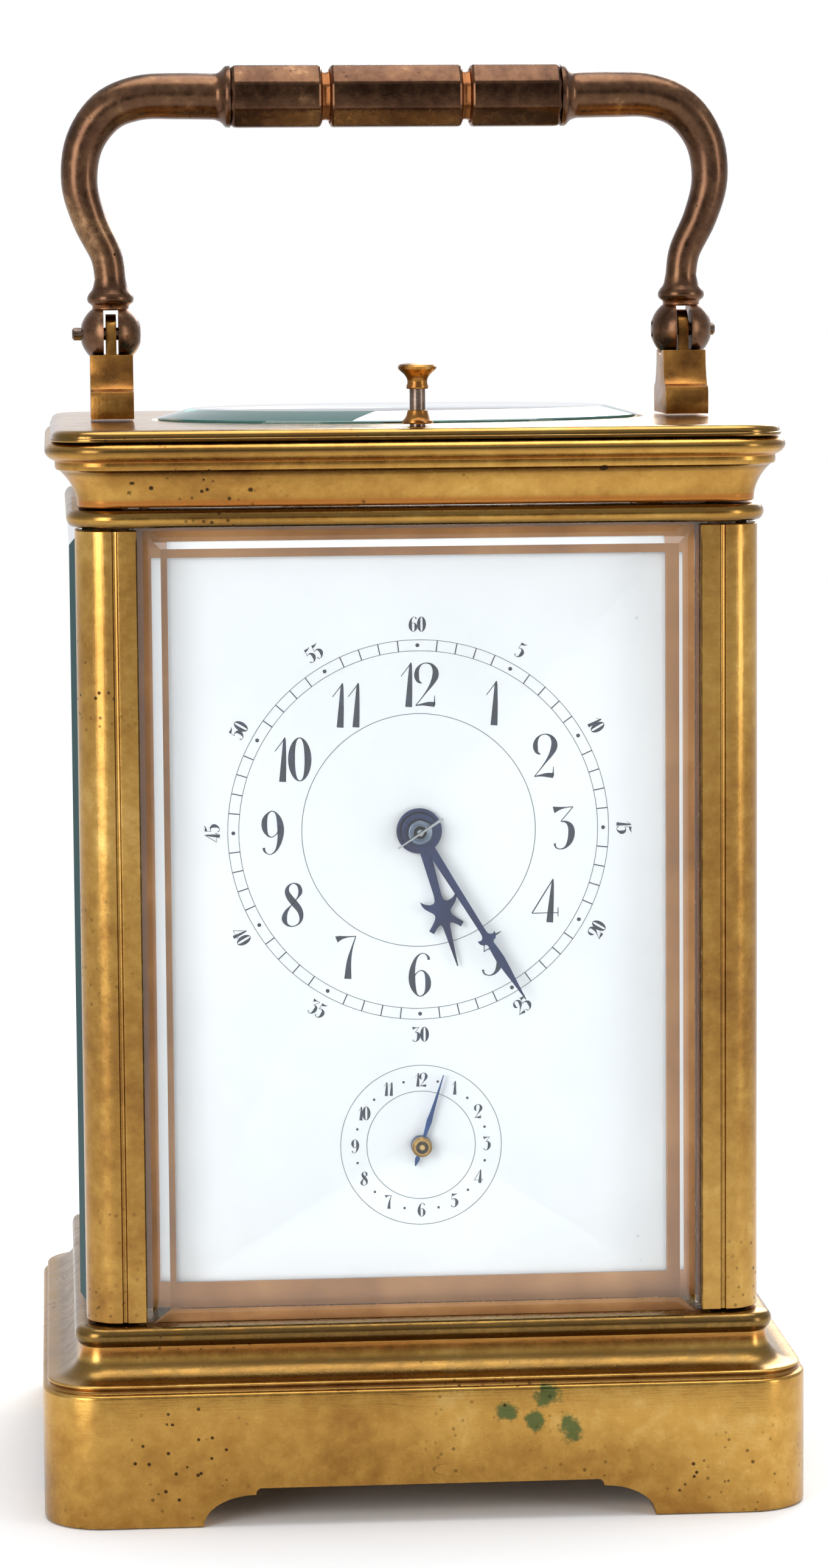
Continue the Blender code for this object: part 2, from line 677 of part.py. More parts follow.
# ---- repeat button ----
def build_button():
    place = (0, BUTTON_Y, 0)
    cap = [
        (0, BUTTON_TOP), (2.0, BUTTON_TOP), (2.35, BUTTON_TOP - 0.25), (2.2, BUTTON_TOP - 0.7),
        (1.5, BUTTON_TOP - 1.3), (1.2, BUTTON_TOP - 2.0), (1.3, BUTTON_RIM), (1.3, BUTTON_RIM - 0.3),
        (STEM_RADIUS, BUTTON_RIM - 0.3),
        (STEM_RADIUS, 129.2), (0, 129.2),
    ]
    turned("repeat_button", cap, GILT, place, steps=16)
    inner = STEM_RADIUS + GAP
    low = TOP_SURFACE + GAP
    bush = [
        (1.5, low + 1.3), (1.6, low + 0.7), (1.95, low + 0.2), (1.95, low), (inner, low), (inner, low + 1.3),
    ]
    turned("repeat_bush", bush, GILT, place, steps=16, ring=True)


# ---- dial and hands ----
def build_dial():
    back = DIAL_FRONT + DIAL_THICK
    outline = rectangle(-DIAL_HALF_X, DIAL_BOTTOM, DIAL_HALF_X, DIAL_TOP)
    holes = [circle(2.4, 16, (0, CENTRE_Z)), circle(1.2, 12, (0, ALARM_Z))]
    plate("dial", [outline] + holes, DIAL_FRONT, back, ENAMEL)
    opening = rectangle(-MASK_HALF_X, MASK_BOTTOM, MASK_HALF_X, MASK_TOP)
    front = DIAL_FRONT - GAP - MASK_THICK
    plate("dial_mask", [outline, opening], front, front + MASK_THICK, MASK)


# A hand with a round hub. The blade holds (distance, half width), and the tail likewise.
def hand(name, hub, bore, blade, tail, angle, depth, centre_z, material=BLUED):
    steps = 6
    start = math.asin(blade[0][1] / hub)
    end = math.pi - (math.asin(tail[0][1] / hub) if tail else 0.0)
    side = list(reversed(blade[1:]))
    for i in range(steps + 1):
        a = start + (end - start) * i / steps
        side.append((hub * math.cos(a), hub * math.sin(a)))
    if tail:
        side += [(-u, v) for u, v in tail[1:]]
    else:
        side[-1] = (-hub, 0.0)
    mirrored = [(u, -v) for u, v in reversed(side) if v > 1e-6]
    turn = math.radians(90 - angle)
    cosine, sine = math.cos(turn), math.sin(turn)
    outline = [(u * cosine - v * sine, u * sine + v * cosine) for u, v in side + mirrored]
    low, high = depth - HAND_THICK / 2, depth + HAND_THICK / 2
    return plate(name, [outline, circle(bore, 12)], low, high, material, (0, centre_z))


def build_hands():
    hour_blade = [
        (2.6, 0.75), (7.9, 0.5), (8.7, 2.3), (9.4, 0.9), (10.3, 0.9), (12.4, 2.0), (12.0, 0.5), (17.4, 0.0),
    ]
    hand("hour_hand", 2.8, 2.1, hour_blade, [], HOUR_ANGLE, HOUR_HAND_Y, CENTRE_Z)
    minute_blade = [
        (2.1, 0.7), (14.6, 0.42), (15.6, 1.2), (16.4, 0.35), (18.6, 0.52), (24.6, 0.0),
    ]
    hand("minute_hand", 2.25, 1.45, minute_blade, [], MINUTE_ANGLE, MINUTE_HAND_Y, CENTRE_Z)
    alarm_blade = [(1.2, 0.3), (2.9, 0.34), (9.2, 0.0)]
    alarm_tail = [(1.2, 0.3), (2.6, 0.3)]
    hand("alarm_hand", 1.3, 0.7, alarm_blade, alarm_tail, ALARM_ANGLE, HOUR_HAND_Y, ALARM_Z)
    centre = (0, 0, CENTRE_Z)
    collet = [(1.35, -COLLET_Y + 0.25), (1.5, -COLLET_Y), (1.5, -COLLET_Y - 0.25), (0.8, -COLLET_Y - 0.25),
              (0.8, -COLLET_Y + 0.25)]
    turned("hand_collet", collet, STEEL, centre, "Y", 16, ring=True)
    pin = rod("hand_pin", 0.16, -3.3, 3.3, STEEL, (0, HAND_PIN_Y, CENTRE_Z), "X", 6)
    pin.rotation_euler = (0, math.pi / 2 - math.radians(33), 0)
    boss = [(1.0, 30.5), (1.27, 30.2), (1.27, 29.8), (0.7, 29.8), (0.7, 30.5)]
    turned("alarm_boss", boss, GILT, (0, 0, ALARM_Z), "Y", 16, ring=True)
    arbor = [
        (0, 30.6), (0.37, 30.6), (0.37, 27.0), (0.9, 26.8), (0.9, -16.0), (2.6, -16.2), (3.0, -16.8),
        (3.0, -18.2),
        (2.6, -18.6), (0, -18.6),
    ]
    turned("alarm_arbor", arbor, PLATE, (0, 0, ALARM_Z), "Y", 16)


# ---- motion work, between the front plate and the dial ----
def build_motion_work():
    cannon_teeth, minute_teeth = 8, 24
    pinion_teeth, hour_teeth = 8, 32
    cannon_pitch = MOTION_DISTANCE * cannon_teeth / (cannon_teeth + minute_teeth)
    hour_pitch = MOTION_DISTANCE * hour_teeth / (hour_teeth + pinion_teeth)
    centre = (0, CENTRE_Z)
    lean = math.radians(55)
    stud = (-MOTION_DISTANCE * math.sin(lean), CENTRE_Z - MOTION_DISTANCE * math.cos(lean))
    gear_outline = gear_loop(cannon_teeth, cannon_pitch, toward(centre, stud))
    gear = plate("cannon_pinion", [gear_outline, circle(0.8, 12)],
                 -20.4, -18.8, PLATE, (0, CENTRE_Z))
    pipe = [(1.15, 30.6), (1.15, 20.0), (0.8, 20.0), (0.8, 30.6)]
    union(gear, turned("cannon_pipe", pipe, PLATE, (0, 0, CENTRE_Z), "Y", 12, ring=True))
    spokes = windows(4, 2.9, 5.6, 1.1)
    back = toward(stud, centre)
    wheel_outline = gear_loop(minute_teeth, MOTION_DISTANCE - cannon_pitch, back, gap=True)
    wheel = plate("minute_wheel", [wheel_outline] + spokes,
                  -20.2, -19.2, PLATE, stud)
    leaves = gear_loop(pinion_teeth, MOTION_DISTANCE - hour_pitch, back, gap=True)
    pinion = plate("minute_pinion", [leaves], -24.0, -20.0, PLATE, stud)
    union(wheel, pinion, rod("minute_stud", 0.7, 18.3, 24.6, PLATE, (stud[0], 0, stud[1]), "Y"))
    hour_outline = gear_loop(hour_teeth, hour_pitch, toward(centre, stud))
    hour = plate("hour_wheel", [hour_outline, circle(1.45, 12)], -23.6, -22.4, PLATE,
                 (0, CENTRE_Z))
    pipe = [(1.85, 29.6), (1.85, 23.0), (1.45, 23.0), (1.45, 29.6)]
    union(hour, turned("hour_pipe", pipe, PLATE, (0, 0, CENTRE_Z), "Y", 12, ring=True))


# ---- plates ----
def build_plates():
    outline = rectangle(-PLATE_HALF_X, PLATE_BOTTOM, PLATE_HALF_X, PLATE_TOP)
    barrels = [circle(1.9, 12, (sign * BARREL_X, BARREL_Z)) for sign in (-1, 1)]
    alarm = circle(1.2, 12, (0, ALARM_Z))
    front = plate("movement_front_plate", [outline, circle(1.3, 12, (0, CENTRE_Z)), alarm] + barrels,
                  FRONT_PLATE, FRONT_PLATE + PLATE_THICK, PLATE)
    posts = []
    for index, (x, z) in enumerate(((-26, 24.5), (26, 24.5), (-26, 109), (26, 109))):
        name = f"plate_post_{index}"
        posts.append(rod(name, 2.0, -BACK_PLATE + GAP, -FRONT_PLATE - 1.0, PLATE, (x, 0, z), "Y"))
    union(front, *posts)
    holes = barrels + [alarm, circle(1.6, 12, (0, CENTRE_Z)), circle(1.9, 12, ALARM_BARREL)]
    plate("movement_back_plate", [outline] + holes, BACK_PLATE, BACK_PLATE + PLATE_THICK, PLATE)


# ---- trains ----
def barrel(name, x, drum_y, gear_y, drives):
    centre = (x, BARREL_Z)
    outline = gear_loop(BARREL_TEETH, BARREL_PITCH, toward(centre, drives))
    gear = plate(name, [outline, circle(1.9, 12)], *gear_y, PLATE, centre)
    drum = [(BARREL_RADIUS, -drum_y[0]), (BARREL_RADIUS, -drum_y[1]), (2.4, -drum_y[1]), (2.4, -drum_y[0])]
    return union(gear, turned(f"{name}_drum", drum, PLATE, (x, 0, BARREL_Z), "Y", 24, ring=True))


# A winding arbor with its square end behind the back plate.
def winding_arbor(name, x):
    shaft = rod(name, 1.6, -18.5, 17.5, STEEL, (x, 0, BARREL_Z), "Y")
    square = block(f"{name}_square", (-1.3, 18.0, -1.3), (1.3, 24.5, 1.3), STEEL, (x, 0, BARREL_Z))
    return union(shaft, square)


def build_trains():
    plates = (FRONT_PLATE + PLATE_THICK + GAP, BACK_PLATE - GAP)
    centre, third, contrate = (0, CENTRE_Z), (THIRD_X, THIRD_Z), (0, CONTRATE_Z)
    going_place, strike_place = (-BARREL_X, BARREL_Z), (BARREL_X, BARREL_Z)
    barrel("going_barrel", -BARREL_X, (-9.0, 6.5), (6.0, 7.6), centre)
    winding_arbor("going_arbor", -BARREL_X)
    barrel("strike_barrel", BARREL_X, (-7.0, 6.5), (-8.2, -6.6), STRIKE_WHEEL)
    winding_arbor("strike_arbor", BARREL_X)
    train = (TRAIN_TEETH, TRAIN_PITCH)
    pin_train = (PIN_WHEEL_TEETH, PIN_WHEEL_PITCH)
    crown_disc = (CONTRATE_TEETH, CONTRATE_RADIUS - 0.6)
    big_pinion = BARREL_PITCH * LEAVES / BARREL_TEETH
    pinion = TRAIN_PITCH * LEAVES / TRAIN_TEETH
    train_wheel("center_wheel", centre, train, (-12.6, -11.6), (-15.7, 17.0), big_pinion, (5.4, 8.2),
                going_place, third, nose=(0.5, -31.6))
    train_wheel("third_wheel", third, train, (9.2, 10.2), plates, pinion, (-13.2, -11.0), centre, contrate)
    wheel = train_wheel("contrate_wheel", contrate, crown_disc, (-0.6, 0.4), plates, pinion, (8.6, 10.8), third,
                        (0, 0))
    union(wheel, crown_ring())
    train_wheel("strike_wheel", STRIKE_WHEEL, train, (9.2, 10.2), plates, big_pinion, (-8.8, -6.0),
                strike_place, PIN_WHEEL)
    train_wheel("pin_wheel", PIN_WHEEL, pin_train, (4.0, 5.0), plates, pinion, (8.6, 10.8), STRIKE_WHEEL, FLY)
    place = (FLY[0], 0, FLY[1])
    fly = rod("fly", 0.6, -8.4, 15.7, STEEL, place, "Y")
    vane = block("fly_vane", (-4.4, -12.0, -0.25), (4.4, -2.0, 0.25), STEEL, place)
    leaves = gear_loop(LEAVES, PIN_WHEEL_PITCH * LEAVES / PIN_WHEEL_TEETH, toward(FLY, PIN_WHEEL), gap=True)
    leaf = plate("fly_pinion", [leaves], 3.2, 5.8, STEEL, FLY)
    union(fly, vane, leaf)
    x, z = ALARM_BARREL
    drum = [
        (0, 12.0), (1.6, 12.0), (1.6, 11.0), (9.0, 11.0), (9.0, -3.0), (1.6, -3.0), (1.6, -15.0),
        (2.8, -15.2),
        (2.8, -17.4), (0, -17.4),
    ]
    turned("alarm_barrel", drum, PLATE, (x, 0, z), "Y", 20)


# The contrate's rim, with teeth that point to the front.
def crown_ring():
    count = CONTRATE_TEETH * 2
    inner = CONTRATE_RADIUS - CROWN_WIDTH
    back, face, tip = 0.2, CROWN_TIP + CROWN_DEPTH, CROWN_TIP
    loops = []
    for radius, depth in ((CONTRATE_RADIUS, back), (CONTRATE_RADIUS, face), (inner, face), (inner, back)):
        loops.append([(x, depth, z) for x, z in circle(radius, count, start=math.pi / count)])
    ring = loft("contrate_crown", loops, PLATE, ring=True, location=(0, 0, CONTRATE_Z))
    bm = bmesh.new()
    bm.from_mesh(ring.data)
    front = [f for f in bm.faces if all(abs(v.co.y - face * MM) < 1e-7 for v in f.verts)]
    for f in front:
        middle = f.calc_center_median()
        place = round(math.atan2(middle.z, middle.x) / (2 * math.pi) * count)
        if place % 2:
            continue
        made = bmesh.ops.extrude_discrete_faces(bm, faces=[f])
        top = made["faces"][0]
        centre = top.calc_center_median()
        bmesh.ops.translate(bm, verts=top.verts, vec=(0, (tip - face) * MM, 0))
        bmesh.ops.scale(bm, verts=top.verts, vec=(0.55, 1, 0.55), space=Matrix.Translation(-centre))
    bm.to_mesh(ring.data)
    bm.free()
    return ring


# ---- platform and escapement ----
def build_platform():
    low = PLATFORM_BOTTOM
    deck = low + 1.2
    outline = rounded_rectangle(17.0, 15.5, 1.5, 2)
    outline = [(x, y - 2.0) for x, y in outline]
    plate("platform", [outline, circle(1.2, 12, ESCAPE)], low, deck, PLATE, axis="Z")
    escape_teeth = []
    for i in range(15):
        for shift, radius in ((0.0, 3.5), (0.25, 2.7), (0.8, 2.6)):
            angle = 2 * math.pi * (i + shift) / 15
            escape_teeth.append((radius * math.cos(angle), radius * math.sin(angle)))
    place = (ESCAPE[0], ESCAPE[1], 0)
    loops = [escape_teeth] + windows(4, 1.1, 2.1, 0.5, 3)
    wheel = plate("escape_wheel", loops, deck + 1.0, deck + 1.5, PLATE, ESCAPE, "Z")
    arbor = rod("escape_arbor", 0.5, 107.9, deck + 2.6, PLATE, place)
    crown_pitch = CONTRATE_RADIUS - CROWN_WIDTH / 2
    leaves = gear_loop(LEAVES, crown_pitch * LEAVES / CONTRATE_TEETH, math.pi / 2, gap=True)
    leaf = plate("escape_pinion", [leaves], 108.4, 111.0, PLATE, ESCAPE, "Z")
    union(wheel, arbor, leaf)

    towards = math.atan2(BALANCE[1] - LEVER[1], BALANCE[0] - LEVER[0])
    fork = [(0.6, 0.3), (3.6, 0.25), (4.2, 0.55), (4.3, 0.25), (3.9, 0.0)]
    arm = [(0.3, 1.9), (-0.5, 2.0), (-0.6, 0.4)]
    upper = fork[::-1] + arm
    lever_outline = upper + [(u, -v) for u, v in reversed(upper[1:])]
    cosine, sine = math.cos(towards), math.sin(towards)
    lever_outline = [(u * cosine - v * sine, u * sine + v * cosine) for u, v in lever_outline]
    lever = plate("lever", [lever_outline], deck + 2.0, deck + 2.5, STEEL, LEVER, "Z")
    union(lever, rod("lever_arbor", 0.3, deck + 0.4, deck + 3.0, STEEL, (*LEVER, 0), steps=8))

    staff = (*BALANCE, 0)
    loops = [circle(7.0, 32)] + windows(2, 1.0, 6.1, 1.0, 10)
    rim = plate("balance_wheel", loops, deck + 4.0, deck + 4.9, PLATE, BALANCE, "Z")
    union(rim, rod("balance_staff", 0.4, deck + 0.4, deck + 7.0, STEEL, staff, steps=8))
    build_balance_spring(deck + 5.6)
    post = block("balance_cock", (-14.5, 8.5, deck + GAP), (-4.5, 12.5, deck + 7.6), PLATE)
    arm_outline = [
        (-14.5, 12.5), (-14.5, 8.9), (-11.6, 2.0), (-11.2, -0.6), (-7.6, -0.6), (-7.2, 2.0), (-4.5, 8.9),
        (-4.5, 12.5),
    ]
    arm = plate("balance_cock_arm", [arm_outline], deck + 7.3, deck + 8.6, PLATE, axis="Z")
    union(post, arm)


# A flat spiral around the staff, as one band.
def build_balance_spring(height):
    turns, steps = 4, 12
    band = 0.12
    outer, inner = [], []
    for i in range(turns * steps + 1):
        angle = 2 * math.pi * i / steps
        radius = 0.9 + 0.75 * angle / (2 * math.pi)
        outer.append(((radius + band) * math.cos(angle), (radius + band) * math.sin(angle)))
        inner.append(((radius - band) * math.cos(angle), (radius - band) * math.sin(angle)))
    plate("balance_spring", [outer + inner[::-1]], height, height + 0.5, BLUED, BALANCE, "Z")


# ---- gong and hammer ----
def build_gong():
    points = []
    turns, steps = 3, 15
    for i in range(turns * steps + 1):
        angle = 2 * math.pi * i / steps - math.pi / 2
        radius = 18.2 + 2.2 * i / steps
        points.append((radius * math.cos(angle), radius * math.sin(angle)))
    curve = bpy.data.curves.new("gong", "CURVE")
    curve.dimensions = "3D"
    curve.bevel_depth = 0.7 * MM
    curve.bevel_resolution = 1
    curve.use_fill_caps = True
    spline = curve.splines.new("POLY")
    spline.points.add(len(points) - 1)
    for point, (x, z) in zip(spline.points, points):
        point.co = (x * MM, 0.0, z * MM, 1.0)
    add_object("gong", curve, BLUED, (GONG_CENTRE[0], GONG_Y, GONG_CENTRE[1]))
    x, z = HAMMER
    arbor = rod("hammer", 0.9, -22.0, -14.3, STEEL, (x, 0, z), "Y")
    arm_outline = [(-0.6, 0), (0.6, 0), (-1.1, -12.0), (-2.1, -12.0)]
    arm = plate("hammer_arm", [arm_outline], 18.4, 19.6, STEEL, HAMMER)
    head = rod("hammer_head", 1.9, -21.0, -17.0, PLATE, (x - 1.6, 0, z - 12.0), "Y")
    union(arbor, arm, head)


build_base()
build_pillars()
build_top()
build_glasses()
build_door()
build_handle()
build_button()
build_dial()
build_hands()
build_motion_work()
build_plates()
build_trains()
build_platform()
build_gong()

for obj in parts.objects:
    if obj.type == "MESH":
        obj.data.shade_smooth()
        obj.data.set_sharp_from_angle(angle=math.radians(35))
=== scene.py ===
import json
from math import asin, atan2, copysign, cos, pi, radians, sin, tau

import bmesh
import bpy
from mathutils import Matrix, Vector

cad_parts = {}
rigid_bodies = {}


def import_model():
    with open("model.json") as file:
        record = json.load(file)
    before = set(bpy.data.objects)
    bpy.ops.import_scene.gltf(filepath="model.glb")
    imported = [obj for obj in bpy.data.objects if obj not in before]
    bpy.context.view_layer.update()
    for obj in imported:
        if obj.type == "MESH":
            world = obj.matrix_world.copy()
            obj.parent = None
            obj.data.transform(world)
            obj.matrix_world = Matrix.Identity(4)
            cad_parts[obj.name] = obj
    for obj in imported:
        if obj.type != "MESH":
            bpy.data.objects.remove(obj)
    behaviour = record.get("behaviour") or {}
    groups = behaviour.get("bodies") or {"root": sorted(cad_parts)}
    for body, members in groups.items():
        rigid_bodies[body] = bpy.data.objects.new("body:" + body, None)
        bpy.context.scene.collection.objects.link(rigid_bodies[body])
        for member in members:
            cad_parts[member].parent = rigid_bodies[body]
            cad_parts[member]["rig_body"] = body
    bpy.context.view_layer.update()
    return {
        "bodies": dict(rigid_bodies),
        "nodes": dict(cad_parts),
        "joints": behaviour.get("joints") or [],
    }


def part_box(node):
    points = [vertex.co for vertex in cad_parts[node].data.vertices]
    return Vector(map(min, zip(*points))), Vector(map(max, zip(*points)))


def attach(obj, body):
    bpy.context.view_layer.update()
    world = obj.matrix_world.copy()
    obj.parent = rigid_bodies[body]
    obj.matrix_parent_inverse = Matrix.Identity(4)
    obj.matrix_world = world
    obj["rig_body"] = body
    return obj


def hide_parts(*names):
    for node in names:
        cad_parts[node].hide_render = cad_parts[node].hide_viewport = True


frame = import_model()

scene = bpy.context.scene
mm = 0.001

# Shapes are drawn flat in millimetres, x to the right and y up, and then stood up to face a side.
facingFront = Matrix.Rotation(pi / 2, 4, "X")
facingBack = Matrix.Rotation(-pi / 2, 4, "X")
facingRight = Matrix.Rotation(pi / 2, 4, "Y")


def boxOf(node):
    low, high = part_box(node)
    return low / mm, high / mm


def middleOf(node):
    low, high = boxOf(node)
    return (low + high) / 2


def at(x, y, z, turn=None):
    place = Matrix.Translation((x, y, z))
    return place @ turn if turn else place


joinGap = 0.0004  # points nearer than this are one point


def addLoop(bm, points, z=0.0):
    ring = [bm.verts.new((point[0], point[1], point[2] if len(point) > 2 else z)) for point in points]
    return [bm.edges.new(pair) for pair in zip(ring, ring[1:] + ring[:1])]


def cleaned(part):
    bmesh.ops.remove_doubles(part, verts=part.verts[:], dist=joinGap)
    bmesh.ops.recalc_face_normals(part, faces=part.faces[:])
    return part


# A section of radii and heights spun round the upright axis.
def turned(profile, steps=48, closed=False):
    part = bmesh.new()
    line = [part.verts.new((radius, 0, height)) for radius, height in profile]
    edges = [part.edges.new(pair) for pair in zip(line, line[1:])]
    if closed:
        edges.append(part.edges.new((line[-1], line[0])))
    bmesh.ops.spin(part, geom=line + edges, cent=(0, 0, 0), axis=(0, 0, 1), angle=tau,
                   steps=steps, use_merge=True)
    return cleaned(part)


# A skin over rings of points, with flat ends unless the rings close on themselves.
def skinned(rings, closed=False):
    part = bmesh.new()
    loops = [addLoop(part, ring) for ring in rings]
    for first, second in zip(loops, loops[1:]):
        bmesh.ops.bridge_loops(part, edges=first + second)
    if closed:
        bmesh.ops.bridge_loops(part, edges=loops[-1] + loops[0])
    else:
        for loop in (loops[0], loops[-1]):
            bmesh.ops.contextual_create(part, geom=loop)
    return cleaned(part)


# The edges sharper than an angle, or only those of them that lie at given heights.
def rimsOf(part, sharp=0.6, level=None):
    picked = []
    for edge in part.edges:
        if len(edge.link_faces) == 2 and edge.calc_face_angle(0) > sharp:
            flat = abs(edge.verts[0].co.z - edge.verts[1].co.z) < 1e-5
            if level is None or (flat and any(abs(edge.verts[0].co.z - z) < 1e-4 for z in level)):
                picked.append(edge)
    return picked


def eased(part, width, segments=2, sharp=0.6, level=None):
    bmesh.ops.bevel(part, geom=rimsOf(part, sharp, level), offset=width, segments=segments, profile=0.5,
                    affect="EDGES", material=-1, clamp_overlap=True)
    return part


# Flat faces given a thickness upwards.
def raised(part, lift):
    grown = bmesh.ops.extrude_face_region(part, geom=part.faces[:])
    bmesh.ops.translate(part, vec=(0, 0, lift),
                        verts=[item for item in grown["geom"] if isinstance(item, bmesh.types.BMVert)])
    bmesh.ops.recalc_face_normals(part, faces=part.faces[:])
    return part


# A ribbon between pairs of points, given a thickness.
def ribbonOf(pairs, lift, closed=False):
    part = bmesh.new()
    rows = [[part.verts.new(point) for point in pair] for pair in pairs]
    for (a, b), (c, d) in list(zip(rows, rows[1:])) + ([(rows[-1], rows[0])] if closed else []):
        part.faces.new((a, b, d, c))
    return raised(part, lift)


# Flat outlines, the first one outside and the others holes, raised from one height to another.
def plateOf(loops, low, high, ease=0.0, segments=2):
    part = bmesh.new()
    edges = []
    for loop in loops:
        edges += addLoop(part, loop, low)
    if len(loops) == 1:
        bmesh.ops.contextual_create(part, geom=edges)
    else:
        bmesh.ops.triangle_fill(part, use_beauty=True, use_dissolve=False, edges=edges)
    raised(part, high - low)
    if ease:
        eased(part, ease, segments, level=(low, high))
    return part


def blockOf(low, high, ease=0.0, segments=2):
    part = bmesh.new()
    size = [b - a for a, b in zip(low, high)]
    middle = [(a + b) / 2 for a, b in zip(low, high)]
    bmesh.ops.create_cube(part, size=1, matrix=Matrix.Translation(middle) @ Matrix.Diagonal((*size, 1)))
    return eased(part, ease, segments) if ease else part


def addPart(whole, part, place=None):
    if place:
        bmesh.ops.transform(part, matrix=place, verts=part.verts[:])
    loose = bpy.data.meshes.new("loose")
    part.to_mesh(loose)
    part.free()
    whole.from_mesh(loose)
    bpy.data.meshes.remove(loose)
    return whole


def joined(*parts):
    whole = bmesh.new()
    for part in parts:
        addPart(whole, *part) if isinstance(part, tuple) else addPart(whole, part)
    return whole


def looseObject(name, part):
    bmesh.ops.scale(part, vec=(mm, mm, mm), verts=part.verts[:])
    mesh = bpy.data.meshes.new(name)
    part.to_mesh(mesh)
    part.free()
    made = bpy.data.objects.new(name, mesh)
    scene.collection.objects.link(made)
    return made


# A part with others cut out of it or joined to it.
def carved(part, *tools, operation="DIFFERENCE"):
    whole = looseObject("carvedPart", part)
    helpers = [looseObject("carvingTool", tool) for tool in tools]
    for helper in helpers:
        cut = whole.modifiers.new("carve", "BOOLEAN")
        cut.operation = operation
        cut.solver = "EXACT"
        cut.object = helper
    shaped = whole.evaluated_get(bpy.context.evaluated_depsgraph_get())
    result = bmesh.new()
    result.from_mesh(shaped.to_mesh())
    bmesh.ops.scale(result, vec=(1 / mm,) * 3, verts=result.verts[:])
    for item in [whole, *helpers]:
        mesh = item.data
        bpy.data.objects.remove(item)
        bpy.data.meshes.remove(mesh)
    return result


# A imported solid's own shape with its edges eased.
def easedNode(node, width, segments=2, sharp=28):
    part = bmesh.new()
    part.from_mesh(frame["nodes"][node].data)
    bmesh.ops.scale(part, vec=(1 / mm,) * 3, verts=part.verts[:])
    bmesh.ops.remove_doubles(part, verts=part.verts[:], dist=0.001)
    bmesh.ops.dissolve_limit(part, angle_limit=radians(1), verts=part.verts[:], edges=part.edges[:])
    return eased(part, width, segments, radians(sharp))


# A finished piece: its body comes from the imported solids that it stands for; the slot of its finish is looked up but
# not kept.
def makePiece(name, part, finish, nodes=(), body="", slot="", smooth=34):
    piece = looseObject(name, part)
    piece.data.shade_smooth()
    piece.data.set_sharp_from_angle(angle=radians(smooth))
    piece.data.materials.append(finish)
    if nodes:
        body = body or frame["nodes"][nodes[0]]["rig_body"]
    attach(piece, body)
    if nodes:
        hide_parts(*nodes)
    slot = slot or finishSlots.get(finish.name, "")
    return piece


def polar(radius, angle):
    return radius * cos(angle), radius * sin(angle)


def ringPoints(radius, count, centre=(0, 0), start=0.0):
    around = (polar(radius, start + tau * i / count) for i in range(count))
    return [(centre[0] + x, centre[1] + y) for x, y in around]


def roundedOutline(halfX, halfY, radius, steps=10):
    points = []
    for corner, (signX, signY) in enumerate(((1, 1), (-1, 1), (-1, -1), (1, -1))):
        for i in range(steps + 1):
            angle = pi / 2 * (corner + i / steps)
            points.append((signX * (halfX - radius) + radius * cos(angle),
                           signY * (halfY - radius) + radius * sin(angle)))
    return points


# The case mouldings: a rounded oblong carried along a section of half widths and heights.
def moulded(section, setback, corner, closed=True, steps=10):
    widest = max(half for half, z in section)
    rings = []
    for half, z in section:
        radius = max(corner - (widest - half), 0.5)
        rings.append([(x, y, z) for x, y in roundedOutline(half, half - setback, radius, steps)])
    return skinned(rings, closed)


# A smooth line through points, each gap cut into steps.
def smoothed(points, steps, closed=False):
    count = len(points)
    made = []
    for i in range(count if closed else count - 1):
        if closed:
            four = [points[(i + k) % count] for k in (-1, 0, 1, 2)]
        else:
            four = [points[min(max(i + k, 0), count - 1)] for k in (-1, 0, 1, 2)]
        for j in range(steps):
            t = j / steps
            made.append(tuple(
                0.5 * (2 * b + (c - a) * t + (2 * a - 5 * b + 4 * c - d) * t * t + (3 * b - a - 3 * c + d) * t ** 3)
                for a, b, c, d in zip(*four)))
    return made if closed else made + [tuple(points[-1])]


# A round bar along points of x, y, z and radius.
def barAlong(points, sides=20, spread=1.0):
    rings = []
    for i, point in enumerate(points):
        before, after = Vector(points[max(i - 1, 0)][:3]), Vector(points[min(i + 1, len(points) - 1)][:3])
        along = (after - before).normalized()
        side = along.orthogonal().normalized() if not rings else (side - along * side.dot(along)).normalized()
        other = along.cross(side)
        radius = point[3]
        rings.append([tuple(Vector(point[:3]) + side * radius * cos(tau * k / sides)
                            + other * radius * spread * sin(tau * k / sides)) for k in range(sides)])
    return skinned(rings)


# A straight block from one point to another.
def boxBetween(start, end, width, low, high):
    run = Vector(end) - Vector(start)
    part = blockOf((-run.length / 2, -width / 2, low), (run.length / 2, width / 2, high))
    middle = (Vector(start) + Vector(end)) / 2
    place = at(middle.x, middle.y, 0, Matrix.Rotation(atan2(run.y, run.x), 4, "Z"))
    bmesh.ops.transform(part, matrix=place, verts=part.verts[:])
    return part


def newFinish(name):
    material = bpy.data.materials.new(name)
    material.use_nodes = True
    tree = material.node_tree
    shader = tree.nodes["Principled BSDF"]
    place = tree.nodes.new("ShaderNodeTexCoord").outputs["Object"]
    return material, tree, shader, place


def addNode(tree, kind, inputs=None, **settings):
    made = tree.nodes.new("ShaderNode" + kind)
    for name, value in settings.items():
        setattr(made, name, value)
    for name, value in (inputs or {}).items():
        socket = made.inputs[name]
        if isinstance(value, bpy.types.NodeSocket):
            tree.links.new(value, socket)
        else:
            socket.default_value = value
    return made


def noiseOf(tree, place, scale, detail=4.0, roughness=0.6, stretch=None, distortion=0.0):
    if stretch:
        place = addNode(tree, "Mapping", {"Vector": place, "Scale": stretch}).outputs["Vector"]
    return addNode(tree, "TexNoise", {"Vector": place, "Scale": scale, "Detail": detail, "Roughness": roughness,
                                      "Distortion": distortion}).outputs["Fac"]


